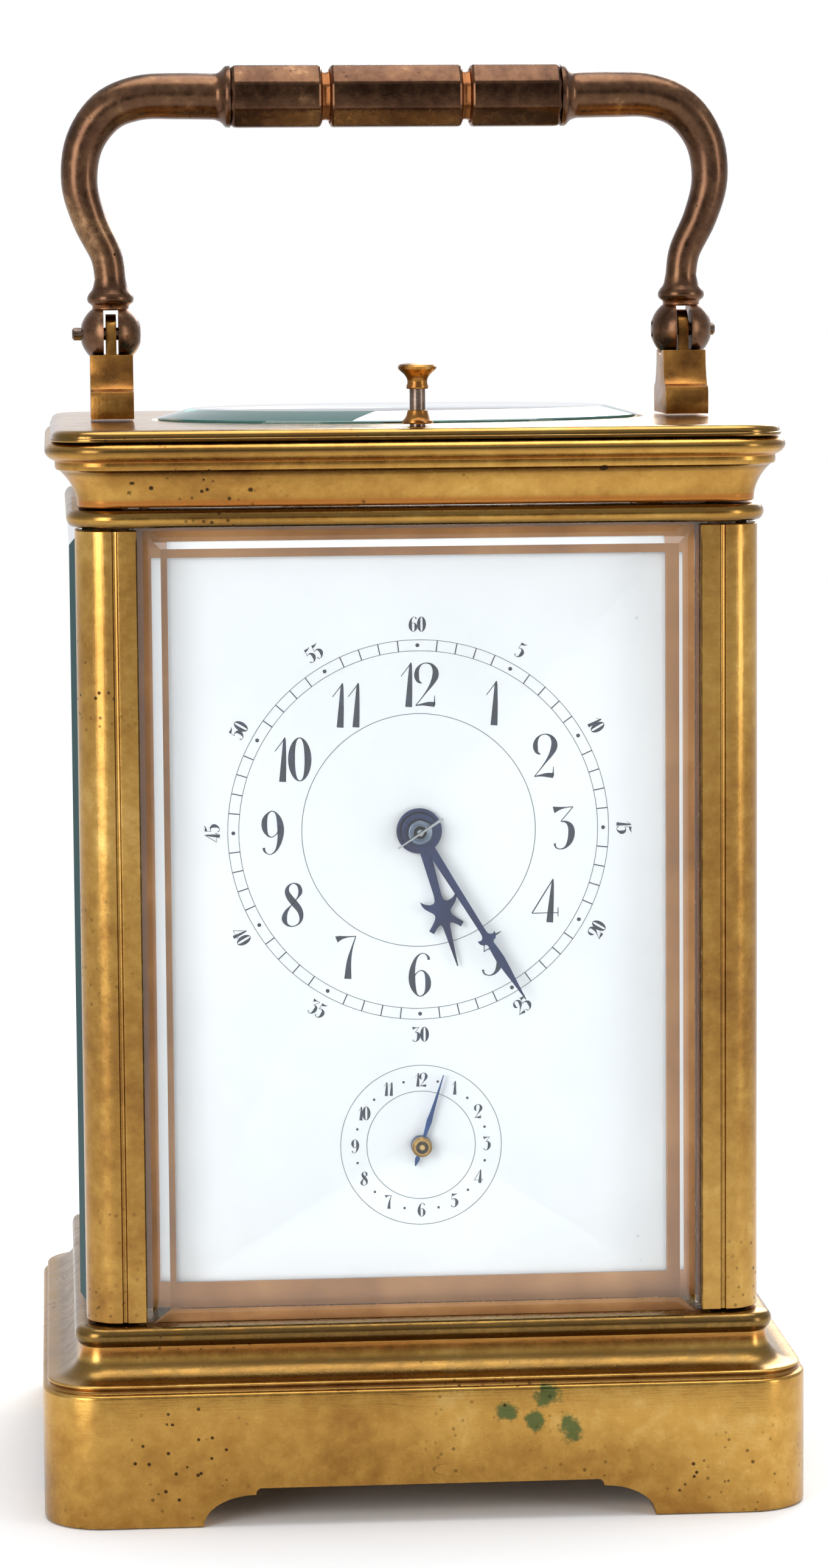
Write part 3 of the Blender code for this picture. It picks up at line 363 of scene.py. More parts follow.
def rampOf(tree, value, *stops):
    ramp = addNode(tree, "ValToRGB", {"Fac": value})
    elements = ramp.color_ramp.elements
    while len(elements) < len(stops):
        elements.new(0.5)
    for element, (position, colour) in zip(elements, stops):
        element.position = position
        shade = colour if isinstance(colour, tuple) else (colour,) * 3
        element.color = (*shade, 1.0)
    return ramp.outputs["Color"]


def mixOf(tree, amount, first, second, blend="MIX"):
    made = addNode(tree, "Mix", {"Factor": amount}, data_type="RGBA", blend_type=blend)
    for socket, value in ((made.inputs[6], first), (made.inputs[7], second)):
        if isinstance(value, bpy.types.NodeSocket):
            tree.links.new(value, socket)
        else:
            socket.default_value = (*value, 1.0)
    return made.outputs[2]


def sumOf(tree, operation, first, second=0.0, clamp=False):
    made = addNode(tree, "Math", {0: first, 1: second}, operation=operation, use_clamp=clamp)
    return made.outputs["Value"]


def bumpOf(tree, height, depth, strength=1.0, normal=None):
    inputs = {"Height": height, "Distance": depth, "Strength": strength}
    if normal:
        inputs["Normal"] = normal
    return addNode(tree, "Bump", inputs).outputs["Normal"]


def wire(tree, shader, **inputs):
    for name, value in inputs.items():
        socket = shader.inputs[{"colour": "Base Color", "roughness": "Roughness", "normal": "Normal",
                                "metallic": "Metallic"}[name]]
        tree.links.new(value, socket)


# How much of a ragged patch round a spot covers each point, from 0 to 1.
def patchAt(tree, place, spot, ragged, raggedness):
    x, y, z, reach = spot
    away = addNode(tree, "VectorMath", {0: place, 1: (x * mm, y * mm, z * mm)}, operation="DISTANCE")
    torn = sumOf(tree, "ADD", away.outputs["Value"], sumOf(tree, "MULTIPLY", ragged, raggedness * reach * mm))
    edge = (1 + raggedness * 0.45) * reach * mm
    return addNode(tree, "MapRange", {"Value": torn, "From Min": edge, "From Max": edge * 0.82},
                   clamp=True).outputs["Result"]


metalWearAndPaintedLight = {
    "broadShare": 0.62, "fineShare": 0.38, "tones": (0.32, 0.45, 0.57, 0.68), "shut": (0.30, 0.85),
    "bandFade": 0.25, "bandGaps": 0.6, "stainAmount": 0.85, "stainRagged": 3.0, "pitSize": (0.17, 0.27),
    "scratchScale": 130, "scratchStretch": (0.22, 1, 1.6), "scratchLine": (0.488, 0.495, 0.502), "wornRough": 0.22,
    "brushScale": 220, "brushStep": 0.00004, "grainStep": 0.00009,
}


# Old gilt brass: soft mottling, fine grain, brown painted shade in the hollows, bands of painted shade and painted
# reflection, pits, stains and thin scratches.
def agedMetal(name, look):
    material, tree, shader, place = newFinish(name)
    broad = noiseOf(tree, place, look["patches"], 5, 0.62, distortion=0.6)
    fine = noiseOf(tree, place, look["grain"], 6, 0.7)
    blend = sumOf(tree, "ADD", sumOf(tree, "MULTIPLY", broad, metalWearAndPaintedLight["broadShare"]),
                  sumOf(tree, "MULTIPLY", fine, metalWearAndPaintedLight["fineShare"]))
    shades = (look[shade] for shade in ("dark", "middle", "bright", "pale"))
    colour = rampOf(tree, blend, *zip(metalWearAndPaintedLight["tones"], shades))
    # Painted shade: where the occlusion test finds a hollow, the colour turns to the hollow colour, dark brown on the
    # gilt finishes; the bronzes take an orange there.
    hollow = addNode(tree, "AmbientOcclusion", {"Distance": look["hollowReach"]}, samples=4, only_local=True)
    shut, open = metalWearAndPaintedLight["shut"]
    hollowShadeAndTint = sumOf(tree, "MULTIPLY", rampOf(tree, hollow.outputs["AO"], (shut, 1.0), (open, 0.0)), look["hollowAmount"])
    colour = mixOf(tree, hollowShadeAndTint, colour, look["hollow"])
    height = addNode(tree, "SeparateXYZ", {"Vector": place}).outputs["Z"]
    # Bands at given heights, broken by the grain, are painted shade and painted reflection of the surroundings on
    # beads, undercuts and coves.
    for low, high, shade, amount in look.get("bands", ()):
        above, below = (addNode(tree, "MapRange", {"Value": height, "From Min": (edge - fade) * mm,
                                                   "From Max": (edge + fade) * mm}, clamp=True).outputs["Result"]
                        for edge, fade in ((low, metalWearAndPaintedLight["bandFade"]), (high, -metalWearAndPaintedLight["bandFade"])))
        broken = rampOf(tree, fine, (0.30, metalWearAndPaintedLight["bandGaps"] * amount), (0.55, amount))
        colour = mixOf(tree, sumOf(tree, "MULTIPLY", sumOf(tree, "MULTIPLY", above, below), broken), colour, shade)
    for *spot, shade in look.get("stains", ()):
        stain = patchAt(tree, place, spot, fine, metalWearAndPaintedLight["stainRagged"])
        colour = mixOf(tree, sumOf(tree, "MULTIPLY", stain, metalWearAndPaintedLight["stainAmount"]), colour, shade)
    pits = addNode(tree, "TexVoronoi", {"Vector": place, "Scale": look["pitScale"], "Randomness": 1.0})
    where = rampOf(tree, noiseOf(tree, place, look["patches"] * 1.7, 3, 0.5), (0.56, 0.0), (0.68, 1.0))
    for spot in look.get("pitted", ()):
        where = sumOf(tree, "MAXIMUM", where, patchAt(tree, place, spot, broad, 1.0))
    chosen = rampOf(tree, pits.outputs["Color"], (0.36, 0.0), (0.38, 1.0))
    core, lip = metalWearAndPaintedLight["pitSize"]
    pit = sumOf(tree, "MULTIPLY", rampOf(tree, pits.outputs["Distance"], (core, 1.0), (lip, 0.0)),
                sumOf(tree, "MULTIPLY", where, chosen))
    for spot in look.get("spots", ()):
        pit = sumOf(tree, "MAXIMUM", pit, patchAt(tree, place, spot, fine, 1.0))
    colour = mixOf(tree, sumOf(tree, "MULTIPLY", pit, look["pitAmount"]), colour, look["pit"])
    for spot in look.get("scratched", ()):
        lines = noiseOf(tree, place, metalWearAndPaintedLight["scratchScale"], 2, 0.5, stretch=metalWearAndPaintedLight["scratchStretch"],
                        distortion=1.2)
        thin = rampOf(tree, lines, *zip(metalWearAndPaintedLight["scratchLine"], (0.0, 0.7, 0.0)))
        thin = sumOf(tree, "MULTIPLY", thin, patchAt(tree, place, spot, broad, 1.5))
        colour = mixOf(tree, sumOf(tree, "MULTIPLY", thin, fine), colour, look["pit"])
    rough = sumOf(tree, "ADD", rampOf(tree, fine, (0.30, look["rough"][0]), (0.70, look["rough"][1])),
                  sumOf(tree, "MULTIPLY", sumOf(tree, "MAXIMUM", pit, hollowShadeAndTint), metalWearAndPaintedLight["wornRough"]))
    scratch = noiseOf(tree, place, metalWearAndPaintedLight["brushScale"], 3, 0.5, stretch=look["brush"])
    normal = bumpOf(tree, scratch, metalWearAndPaintedLight["brushStep"], look["brushDepth"])
    normal = bumpOf(tree, fine, metalWearAndPaintedLight["grainStep"], look["grainDepth"], normal)
    wire(tree, shader, colour=colour, roughness=rough, normal=normal)
    shader.inputs["Metallic"].default_value = 1.0
    return material


# Clear glass that lets lamps through to what stands behind it.
def clearGlass(name, look):
    material, tree, shader, place = newFinish(name)
    shader.inputs["Base Color"].default_value = (*look["tint"], 1.0)
    shader.inputs["Transmission Weight"].default_value = look["clear"]
    shader.inputs["IOR"].default_value = look["index"]
    smear = noiseOf(tree, place, 60, 4, 0.6)
    wire(tree, shader, roughness=rampOf(tree, smear, (0.4, look["rough"][0]), (0.7, look["rough"][1])))
    clear = addNode(tree, "BsdfTransparent", {"Color": (*look["shadow"], 1.0)})
    ray = addNode(tree, "LightPath")
    tint = addNode(tree, "VolumeAbsorption", {"Color": (*look["depthTint"], 1.0), "Density": look["depth"]})
    tree.links.new(tint.outputs["Volume"], tree.nodes["Material Output"].inputs["Volume"])
    blend = addNode(tree, "MixShader", {"Fac": ray.outputs["Is Shadow Ray"]})
    tree.links.new(shader.outputs["BSDF"], blend.inputs[1])
    tree.links.new(clear.outputs["BSDF"], blend.inputs[2])
    tree.links.new(blend.outputs["Shader"], tree.nodes["Material Output"].inputs["Surface"])
    return material


# White fired enamel: hard gloss over a faintly uneven ground with a few specks.
def whiteEnamel(name, look):
    material, tree, shader, place = newFinish(name)
    cloud = noiseOf(tree, place, 26, 4, 0.6)
    colour = rampOf(tree, cloud, (0.35, look["shade"]), (0.62, look["white"]))
    speck = addNode(tree, "TexVoronoi", {"Vector": place, "Scale": 190.0})
    rare = rampOf(tree, noiseOf(tree, place, 130, 2, 0.5), (0.60, 0.0), (0.66, 1.0))
    dirt = sumOf(tree, "MULTIPLY", rampOf(tree, speck.outputs["Distance"], (0.02, 1.0), (0.055, 0.0)), rare)
    colour = mixOf(tree, sumOf(tree, "MULTIPLY", dirt, 0.55), colour, look["speck"])
    ripple = noiseOf(tree, place, 85, 3, 0.5)
    wire(tree, shader, colour=colour, roughness=rampOf(tree, cloud, (0.3, 0.10), (0.7, 0.17)),
         normal=bumpOf(tree, ripple, 0.00003, 0.35))
    shader.inputs["Coat Weight"].default_value = 0.35
    shader.inputs["Coat Roughness"].default_value = 0.05
    return material


# A hard, smooth metal or paint with fine variation in colour and gloss.
def fineFinish(name, look):
    material, tree, shader, place = newFinish(name)
    cloud = noiseOf(tree, place, look.get("cloud", 160), 5, 0.6)
    colour = rampOf(tree, cloud, (0.34, look["dark"]), (0.52, look["middle"]), (0.68, look["light"]))
    if "hollow" in look:
        # Painted shade: the hollows that the occlusion test finds take the darker hollow colour.
        shut = addNode(tree, "AmbientOcclusion", {"Distance": look["hollowReach"]}, samples=4, only_local=True)
        colour = mixOf(tree, rampOf(tree, shut.outputs["AO"], (0.25, look["hollowAmount"]), (0.8, 0.0)), colour,
                       look["hollow"])
    brush = noiseOf(tree, place, look.get("brushScale", 300), 4, 0.6, stretch=look.get("brush", (1, 1, 1)))
    rough = rampOf(tree, brush, (0.3, look["rough"][0]), (0.7, look["rough"][1]))
    wire(tree, shader, colour=colour, roughness=rough,
         normal=bumpOf(tree, brush, 0.00003, look.get("brushDepth", 0.3)))
    shader.inputs["Metallic"].default_value = look["metal"]
    if "coat" in look:
        shader.inputs["Coat Weight"].default_value = look["coat"]
        shader.inputs["Coat Roughness"].default_value = 0.08
    return material


# Where the marks of wear stand, and the bands of painted shade and painted reflection.
plinthLow = boxOf("base_plinth")[0]
corniceLow, corniceHigh = boxOf("cornice")
frontFace = plinthLow.y
# The gilt hollow colour is painted shade for the hollows that the occlusion test finds.
giltLook = {
    "dark": (0.235, 0.108, 0.026), "middle": (0.370, 0.190, 0.042), "bright": (0.490, 0.278, 0.066),
    "pale": (0.600, 0.385, 0.125), "hollow": (0.060, 0.024, 0.009), "pit": (0.020, 0.011, 0.008),
    "patches": 34.0, "grain": 420.0, "hollowReach": 0.0035, "hollowAmount": 0.85, "pitScale": 1000.0,
    "pitAmount": 0.9, "rough": (0.20, 0.33), "brush": (1, 1, 14), "brushDepth": 0.30, "grainDepth": 0.22,
}
# The dark olive is painted shade and dark reflection and the copper red is painted reflection, both for the bands; the
# green is a real verdigris stain.
verdigris, paintedShadeOlive, paintedReflectionCopper = (0.045, 0.095, 0.035), (0.105, 0.062, 0.022), (0.42, 0.135, 0.028)
coveFace = corniceLow.y + 3.3
giltBrass = agedMetal("giltBrass", giltLook | {
    "bands": [(121.2, 121.9, paintedShadeOlive, 0.8), (122.5, 123.5, paintedShadeOlive, 0.7)]})
plinthBrass = agedMetal("plinthBrass", giltLook | {
    "bands": [(16.7, 17.35, (0.22, 0.085, 0.032), 0.6), (17.75, 19.7, paintedShadeOlive, 0.7), (20.4, 21.4, paintedReflectionCopper, 0.6),
              (21.6, 23.9, paintedShadeOlive, 0.85)],
    "stains": [(14.3, frontFace, 15.6, 1.9, verdigris), (9.6, frontFace, 13.4, 1.6, verdigris),
               (17.2, frontFace, 11.2, 2.2, verdigris), (12.6, frontFace, 12.2, 1.5, verdigris)],
    "pitted": [(-29.5, frontFace, 9.0, 9.0), (31.0, frontFace, 6.0, 4.0)],
    "scratched": [(-6.0, frontFace, 9.5, 12.0)],
})
corniceBrass = agedMetal("corniceBrass", giltLook | {
    "bands": [(123.6, 124.6, paintedReflectionCopper, 0.75), (127.7, 128.1, paintedShadeOlive, 0.75), (129.2, 129.5, paintedReflectionCopper, 0.6),
              (130.3, 130.9, paintedShadeOlive, 0.75)],
    "spots": [(-34.6, coveFace, 126.9, 0.5), (-34.9, coveFace, 125.4, 0.6), (-33.7, coveFace, 125.5, 0.4),
              (-32.3, coveFace, 126.1, 0.35), (-20.4, coveFace, 125.7, 0.45), (-6.8, coveFace, 124.1, 0.7),
              (22.1, coveFace - 1.5, 128.0, 0.7)],
})
topBrass = agedMetal("topBrass", giltLook | {
    "rough": (0.13, 0.24), "patches": 26.0, "grainDepth": 0.08, "brushDepth": 0.1, "hollowAmount": 0.3,
    "bands": [(131.7, 132.85, paintedShadeOlive, 0.7)]})
pillarBrass = agedMetal("pillarBrass", giltLook | {
    "dark": (0.200, 0.092, 0.026), "middle": (0.330, 0.172, 0.042), "bright": (0.450, 0.262, 0.068),
    "brush": (14, 14, 1), "patches": 22.0, "rough": (0.18, 0.30), "hollowReach": 0.0012, "grainDepth": 0.15})
bronzeLook = giltLook | {
    "dark": (0.042, 0.021, 0.013), "middle": (0.088, 0.044, 0.026), "bright": (0.150, 0.078, 0.042),
    "pale": (0.34, 0.20, 0.10), "hollow": (0.50, 0.165, 0.035), "hollowReach": 0.0014, "hollowAmount": 0.75,
    "pit": (0.02, 0.012, 0.008), "patches": 60.0, "grain": 700.0, "rough": (0.22, 0.36), "brush": (1, 1, 1)}
handleBronze = agedMetal("handleBronze", bronzeLook)
gripBronze = agedMetal("gripBronze", bronzeLook | {
    "dark": (0.036, 0.018, 0.011), "middle": (0.070, 0.034, 0.020), "bright": (0.118, 0.060, 0.032),
    "hollowReach": 0.0030, "hollowAmount": 1.0, "brush": (14, 1, 14), "rough": (0.20, 0.32)})
footBronze = agedMetal("footBronze", giltLook | {
    "dark": (0.110, 0.048, 0.016), "middle": (0.260, 0.112, 0.028), "bright": (0.380, 0.180, 0.042),
    "pale": (0.50, 0.28, 0.08), "patches": 120.0, "rough": (0.22, 0.36), "brush": (14, 14, 1)})
stemBronze = agedMetal("stemBronze", giltLook | {
    "dark": (0.070, 0.050, 0.040), "middle": (0.140, 0.100, 0.078), "bright": (0.230, 0.175, 0.140),
    "pale": (0.36, 0.28, 0.22), "patches": 200.0, "rough": (0.22, 0.34), "brush": (1, 1, 6)})
glassLook = {"tint": (0.985, 0.99, 0.985), "index": 1.5, "rough": (0.0, 0.010), "shadow": (0.95, 0.955, 0.955),
             "depthTint": (0.15, 0.62, 0.62), "depth": 24.0, "clear": 1.0}
caseGlass = clearGlass("caseGlass", glassLook)
ovalRim = clearGlass("ovalRim", glassLook | {"tint": (0.13, 0.42, 0.38), "clear": 0.72})
paneRim = clearGlass("paneRim", glassLook | {"tint": (0.012, 0.105, 0.115), "clear": 0.60})
dialEnamel = whiteEnamel("dialEnamel", {"white": (0.865, 0.835, 0.870), "shade": (0.80, 0.775, 0.815),
                                        "speck": (0.35, 0.35, 0.37)})
numeralInk = fineFinish("numeralInk", {
    "dark": (0.004, 0.006, 0.016), "middle": (0.008, 0.012, 0.034), "light": (0.016, 0.024, 0.060),
    "cloud": 900, "rough": (0.22, 0.38), "metal": 0.0, "coat": 0.3})
ringInk = fineFinish("ringInk", {
    "dark": (0.05, 0.055, 0.07), "middle": (0.09, 0.10, 0.12), "light": (0.15, 0.16, 0.18),
    "cloud": 700, "rough": (0.25, 0.4), "metal": 0.0})
bluedSteel = fineFinish("bluedSteel", {
    "dark": (0.010, 0.014, 0.060), "middle": (0.016, 0.028, 0.105), "light": (0.022, 0.060, 0.165),
    "cloud": 130, "rough": (0.14, 0.26), "metal": 0.9, "brush": (1, 1, 1), "coat": 0.2})
alarmBlue = fineFinish("alarmBlue", {
    "dark": (0.006, 0.030, 0.120), "middle": (0.008, 0.050, 0.190), "light": (0.015, 0.080, 0.270),
    "cloud": 130, "rough": (0.16, 0.28), "metal": 0.9})
colletSteel = fineFinish("colletSteel", {
    "dark": (0.10, 0.13, 0.20), "middle": (0.18, 0.22, 0.30), "light": (0.35, 0.40, 0.46),
    "cloud": 500, "rough": (0.14, 0.30), "metal": 1.0})
polishedSteel = fineFinish("polishedSteel", {
    "dark": (0.42, 0.42, 0.44), "middle": (0.54, 0.55, 0.57), "light": (0.66, 0.66, 0.68),
    "cloud": 240, "rough": (0.12, 0.26), "metal": 1.0, "brush": (1, 1, 8)})
plateBrass = fineFinish("plateBrass", {
    "dark": (0.50, 0.33, 0.115), "middle": (0.64, 0.45, 0.17), "light": (0.74, 0.55, 0.25),
    "cloud": 60, "rough": (0.16, 0.32), "metal": 1.0, "brush": (30, 1, 1), "brushScale": 120,
    "hollow": (0.20, 0.10, 0.03), "hollowReach": 0.002, "hollowAmount": 0.6})
wheelBrass = fineFinish("wheelBrass", {
    "dark": (0.54, 0.36, 0.12), "middle": (0.68, 0.49, 0.18), "light": (0.80, 0.60, 0.27),
    "cloud": 180, "rough": (0.14, 0.28), "metal": 1.0, "hollow": (0.22, 0.11, 0.035), "hollowReach": 0.001,
    "hollowAmount": 0.5})
maskBrown = fineFinish("maskBrown", {
    "dark": (0.250, 0.100, 0.034), "middle": (0.350, 0.150, 0.050), "light": (0.440, 0.205, 0.076),
    "cloud": 70, "rough": (0.32, 0.46), "metal": 0.45})
rubyStone = fineFinish("rubyStone", {
    "dark": (0.22, 0.006, 0.020), "middle": (0.36, 0.012, 0.040), "light": (0.50, 0.030, 0.070),
    "cloud": 900, "rough": (0.04, 0.10), "metal": 0.0, "coat": 0.6})
# The finishes that stand for each packed slot, first the plain one.
packedFinishes = {
    "gilt_brass": (giltBrass, plinthBrass, corniceBrass, topBrass, pillarBrass, footBronze),
    "handle_bronze": (handleBronze, gripBronze), "bevelled_glass": (caseGlass,), "white_enamel": (dialEnamel,),
    "blued_steel": (bluedSteel, alarmBlue), "polished_steel": (polishedSteel, colletSteel, stemBronze),
    "plate_brass": (plateBrass, wheelBrass), "mask_brass": (maskBrown,),
}
finishSlots = {finish.name: slot for slot, finishes in packedFinishes.items() for finish in finishes}
print("finishes mixed")


# The moulded base with its four feet.
plinthShape = {
    "corner": 7.5, "steps": 12, "setback": 6.0,
    # half width and height, up the outside, in over the flange and down the inside
    "section": [(46.6, 0.0), (46.9, 0.12), (47.0, 0.45), (47.0, 16.1), (46.95, 16.35), (46.8, 16.5), (46.5, 16.56),
                (46.3, 16.68), (46.2, 16.9), (46.28, 17.15), (46.42, 17.32), (46.4, 17.5), (46.25, 17.62)],
    "cove": {"half": 46.1, "top": 21.5, "deep": 3.85, "tall": 3.85, "steps": 14},
    "bead": [(42.45, 21.7), (42.72, 22.0), (42.92, 22.4), (43.0, 22.8), (42.92, 23.2), (42.7, 23.6), (42.35, 23.82),
             (42.0, 23.9), (33.5, 23.9), (33.5, 21.0), (41.0, 21.0), (41.0, 0.4), (41.2, 0.0)],
    "feet": {"front": 27.7, "side": 22.0, "reach": 6.4, "low": 3.9, "high": 4.7, "step": 0.15, "steps": 9,
             "ease": 0.22},
}
feet, cove = plinthShape["feet"], plinthShape["cove"]


# The arch between two feet, run right through the base as a tool.
def archTool(half, turn, long=60):
    reach, step = feet["reach"], feet["step"]
    side = [(half, -2.0), (half, step)]
    for i in range(1, feet["steps"] + 1):
        angle = pi / 2 * i / feet["steps"]
        side.append((half - reach * (1 - cos(angle)), step + (feet["low"] - step) * sin(angle)))
    side += [(half - reach - 0.1, feet["low"] + 0.5), (half - reach - 0.5, feet["high"])]
    return joined((plateOf([side + [(-x, z) for x, z in reversed(side)]], -long, long), turn))


coveLine = [(cove["half"] - cove["deep"] * cos(turn), cove["top"] - cove["tall"] * sin(turn))
            for turn in (pi / 2 * (1 - i / cove["steps"]) for i in range(cove["steps"] + 1))]
plinth = moulded(plinthShape["section"] + coveLine + plinthShape["bead"], plinthShape["setback"],
                 plinthShape["corner"], steps=plinthShape["steps"])
plinth = carved(plinth, archTool(feet["front"], facingFront),
                archTool(feet["side"], Matrix.Rotation(pi / 2, 4, "Z") @ facingFront))
bmesh.ops.remove_doubles(plinth, verts=plinth.verts[:], dist=0.002)
underEdges = [edge for edge in rimsOf(plinth, 1.0) if max(vert.co.z for vert in edge.verts) < 5.0]
bmesh.ops.bevel(plinth, geom=underEdges, offset=feet["ease"], segments=2, profile=0.5, affect="EDGES", material=-1,
                clamp_overlap=True)
makePiece("plinth_moulding", plinth, plinthBrass, ["base_plinth"], smooth=40)
makePiece("plinth_floor_plate", easedNode("base_plate", 0.2), plateBrass, ["base_plate"])
print("base made")


# The corner columns: a round corner between two flutes, with slots that hold the panes.
columnShape = {
    "size": 7.4, "flat": 2.9, "depth": 1.2, "cornerSteps": 14, "ease": 0.12, "edge": 0.15,
    "flute": [(-0.75, 0), (-0.55, 0.05), (-0.42, 0.304), (-0.22, 0.38), (-0.02, 0.304), (0.12, 0.05)],
    "glassEdge": 1.4, "glassRoom": 0.2,
}


def columnOutline():
    outX, outY = boxOf("pillar_rear_right")[1].xy
    inX, inY = outX - columnShape["size"], outY - columnShape["size"]
    flat, edge, depth = (columnShape[part] for part in ("flat", "edge", "depth"))
    flute = [(flat + along, deep) for along, deep in columnShape["flute"]]
    radius = columnShape["size"] - flat - 0.3
    points = [(inX, outY - edge), (inX + edge, outY)] + [(inX + along, outY - deep) for along, deep in flute]
    for i in range(columnShape["cornerSteps"] + 1):
        angle = pi / 2 * (1 - i / columnShape["cornerSteps"])
        points.append((outX - radius + radius * cos(angle), outY - radius + radius * sin(angle)))
    points += [(outX - deep, inY + along) for along, deep in reversed(flute)]
    points += [(outX, inY + edge), (outX - edge, inY)]
    slotLow, slotHigh = glassSlot(boxOf("right_glass")[0].x)
    points += [(slotHigh, inY), (slotHigh, inY + depth), (slotLow, inY + depth), (slotLow, inY), (inX + 0.1, inY),
               (inX, inY + 0.1)]
    slotLow, slotHigh = glassSlot(-boxOf("front_glass")[1].y)
    return points + [(inX, slotLow), (inX + depth, slotLow), (inX + depth, slotHigh), (inX, slotHigh)]


# Where a pane's edge sits in the column, from its inner face outwards.
def glassSlot(inner):
    return inner - columnShape["glassRoom"], inner + columnShape["glassEdge"] + columnShape["glassRoom"]


outline = columnOutline()
for depth, signY in (("front", -1), ("rear", 1)):
    for side, signX in (("left", -1), ("right", 1)):
        node = f"pillar_{depth}_{side}"
        low, high = boxOf(node)
        column = plateOf([[(x * signX, y * signY) for x, y in outline]], low.z, high.z, columnShape["ease"], 1)
        makePiece(f"corner_column_{depth}_{side}", column, pillarBrass, [node], smooth=38)
print("columns made")


# The top of the case: rail, cornice, and a lid with an oval window and the button's well.
topShape = {
    "setback": 6.0, "steps": 12, "corners": {"rail": 6.6, "cornice": 8.0, "plate": 6.0}, "well": 1.25,
    "rail": [(41.6, 121.3), (41.95, 121.38), (42.2, 121.6), (42.4, 121.95), (42.5, 122.35), (42.4, 122.75),
             (42.2, 123.1), (41.95, 123.32), (41.6, 123.4), (35.5, 123.4), (35.5, 121.3)],
    "cornice": [(41.0, 123.7), (41.12, 123.85), (41.15, 124.3), (41.22, 124.85), (41.4, 125.5), (41.68, 126.15),
                (42.05, 126.8), (42.5, 127.4), (43.0, 127.95), (43.3, 128.2), (43.62, 128.28),
                (43.75, 128.5), (43.78, 128.85), (43.74, 129.2), (43.85, 129.36), (44.2, 129.5), (44.6, 129.78),
                (44.88, 130.13), (45.0, 130.5), (44.9, 130.88), (44.65, 131.2), (44.3, 131.42), (43.95, 131.5),
                (35.5, 131.5), (35.5, 123.7)],
    "plate": [(43.9, 131.66), (44.2, 131.7), (44.3, 131.85), (44.26, 132.05), (44.12, 132.14), (44.1, 132.35),
              (44.0, 132.6), (43.78, 132.82), (43.45, 132.98), (43.0, 133.07), (42.5, 133.1)],
}


def topMoulding(part, closed=True):
    return moulded(topShape[part], topShape["setback"], topShape["corners"][part], closed, topShape["steps"])


def buttonWell(low, high=140):
    tool = turned([(0, low), (topShape["well"], low), (topShape["well"], high), (0, high)], 40)
    bmesh.ops.translate(tool, vec=buttonPlace, verts=tool.verts[:])
    return tool


makePiece("top_rail_bead", topMoulding("rail"), giltBrass, ["top_rail"], smooth=40)
buttonPlace = middleOf("repeat_button")
buttonPlace.z = 0
makePiece("cornice_moulding", carved(topMoulding("cornice"), buttonWell(126)), corniceBrass, ["cornice"], smooth=40)
lidTop = boxOf("top_plate")[1].z
glassLow, glassHigh = (corner.z for corner in boxOf("top_glass"))
# How far each ring of the window and of its glass stands outside the opening, and its height.
ovalShape = {
    "halfX": 31.0, "halfY": 22.0, "steps": 112,
    "window": [(0, 120.0), (0, lidTop - 0.5), (0.18, lidTop - 0.16), (0.5, lidTop + 0.05), (0.5, lidTop + 3)],
    "glass": [(2.0, glassLow), (2.0, glassLow + 1.3), (-0.3, glassLow + 1.3), (-0.3, glassHigh - 1.25),
              (-0.45, glassHigh - 1.1), (-4.25, glassHigh - 0.03), (-4.5, glassHigh)],
}


def ovalSolid(rings):
    turns = [tau * i / ovalShape["steps"] for i in range(ovalShape["steps"])]
    return skinned([[((ovalShape["halfX"] + grown) * cos(turn), (ovalShape["halfY"] + grown) * sin(turn), z)
                     for turn in turns] for grown, z in rings])


lid = carved(topMoulding("plate", closed=False), ovalSolid(ovalShape["window"]), buttonWell(120))
makePiece("top_lid", lid, topBrass, ["top_plate"], smooth=30)


# A pane's slanting bevels and narrow edges show the green depth of the glass.
def rimmed(pane, finish):
    pane.data.materials.append(finish)
    for face in pane.data.polygons:
        if max(abs(part) for part in face.normal) < 0.998:
            face.material_index = 1


rimmed(makePiece("oval_top_glass", ovalSolid(ovalShape["glass"]), caseGlass, ["top_glass"],
                 smooth=12), ovalRim)
print("top made")


# The case panes run on into the rails above and below, so only part of their end bevels shows.
paneShape = {"edge": 1.4, "thick": 3.0, "slope": (1.6, 3.7), "above": 1.5, "below": 1.8}


def paneOf(node, across, outward):
    low, high = boxOf(node)
    back = low[across] if outward > 0 else high[across]
    part = bmesh.new()
    rings = []
    for inset, depth in ((0, 0), (0, paneShape["edge"]), (paneShape["slope"][0], paneShape["edge"]),
                         (paneShape["slope"][1], paneShape["thick"])):
        reach, face = high[1 - across] - inset, back + outward * depth
        bottom, top = low.z - paneShape["below"] + inset, high.z + paneShape["above"] - inset
        corners = [(-reach, bottom), (reach, bottom), (reach, top), (-reach, top)]
        rings.append([part.verts.new((face, u, z) if across == 0 else (u, face, z)) for u, z in corners])
    for first, second in zip(rings, rings[1:]):
        for i in range(4):
            part.faces.new((first[i], first[i - 1], second[i - 1], second[i]))
    for ring in (rings[0], rings[-1]):
        part.faces.new(ring)
    return cleaned(part)


for side, across, outward in (("front", 1, -1), ("left", 0, -1), ("right", 0, 1)):
    node = f"{side}_glass"
    made = makePiece(f"{side}_bevelled_pane", paneOf(node, across, outward), caseGlass, [node], smooth=12)
    if side != "front":
        rimmed(made, paneRim)
frame["nodes"]["rear_door_glass"].data.materials.clear()
frame["nodes"]["rear_door_glass"].data.materials.append(caseGlass)
makePiece("door_frame", easedNode("rear_door_frame", 0.25, 3), giltBrass, ["rear_door_frame"])

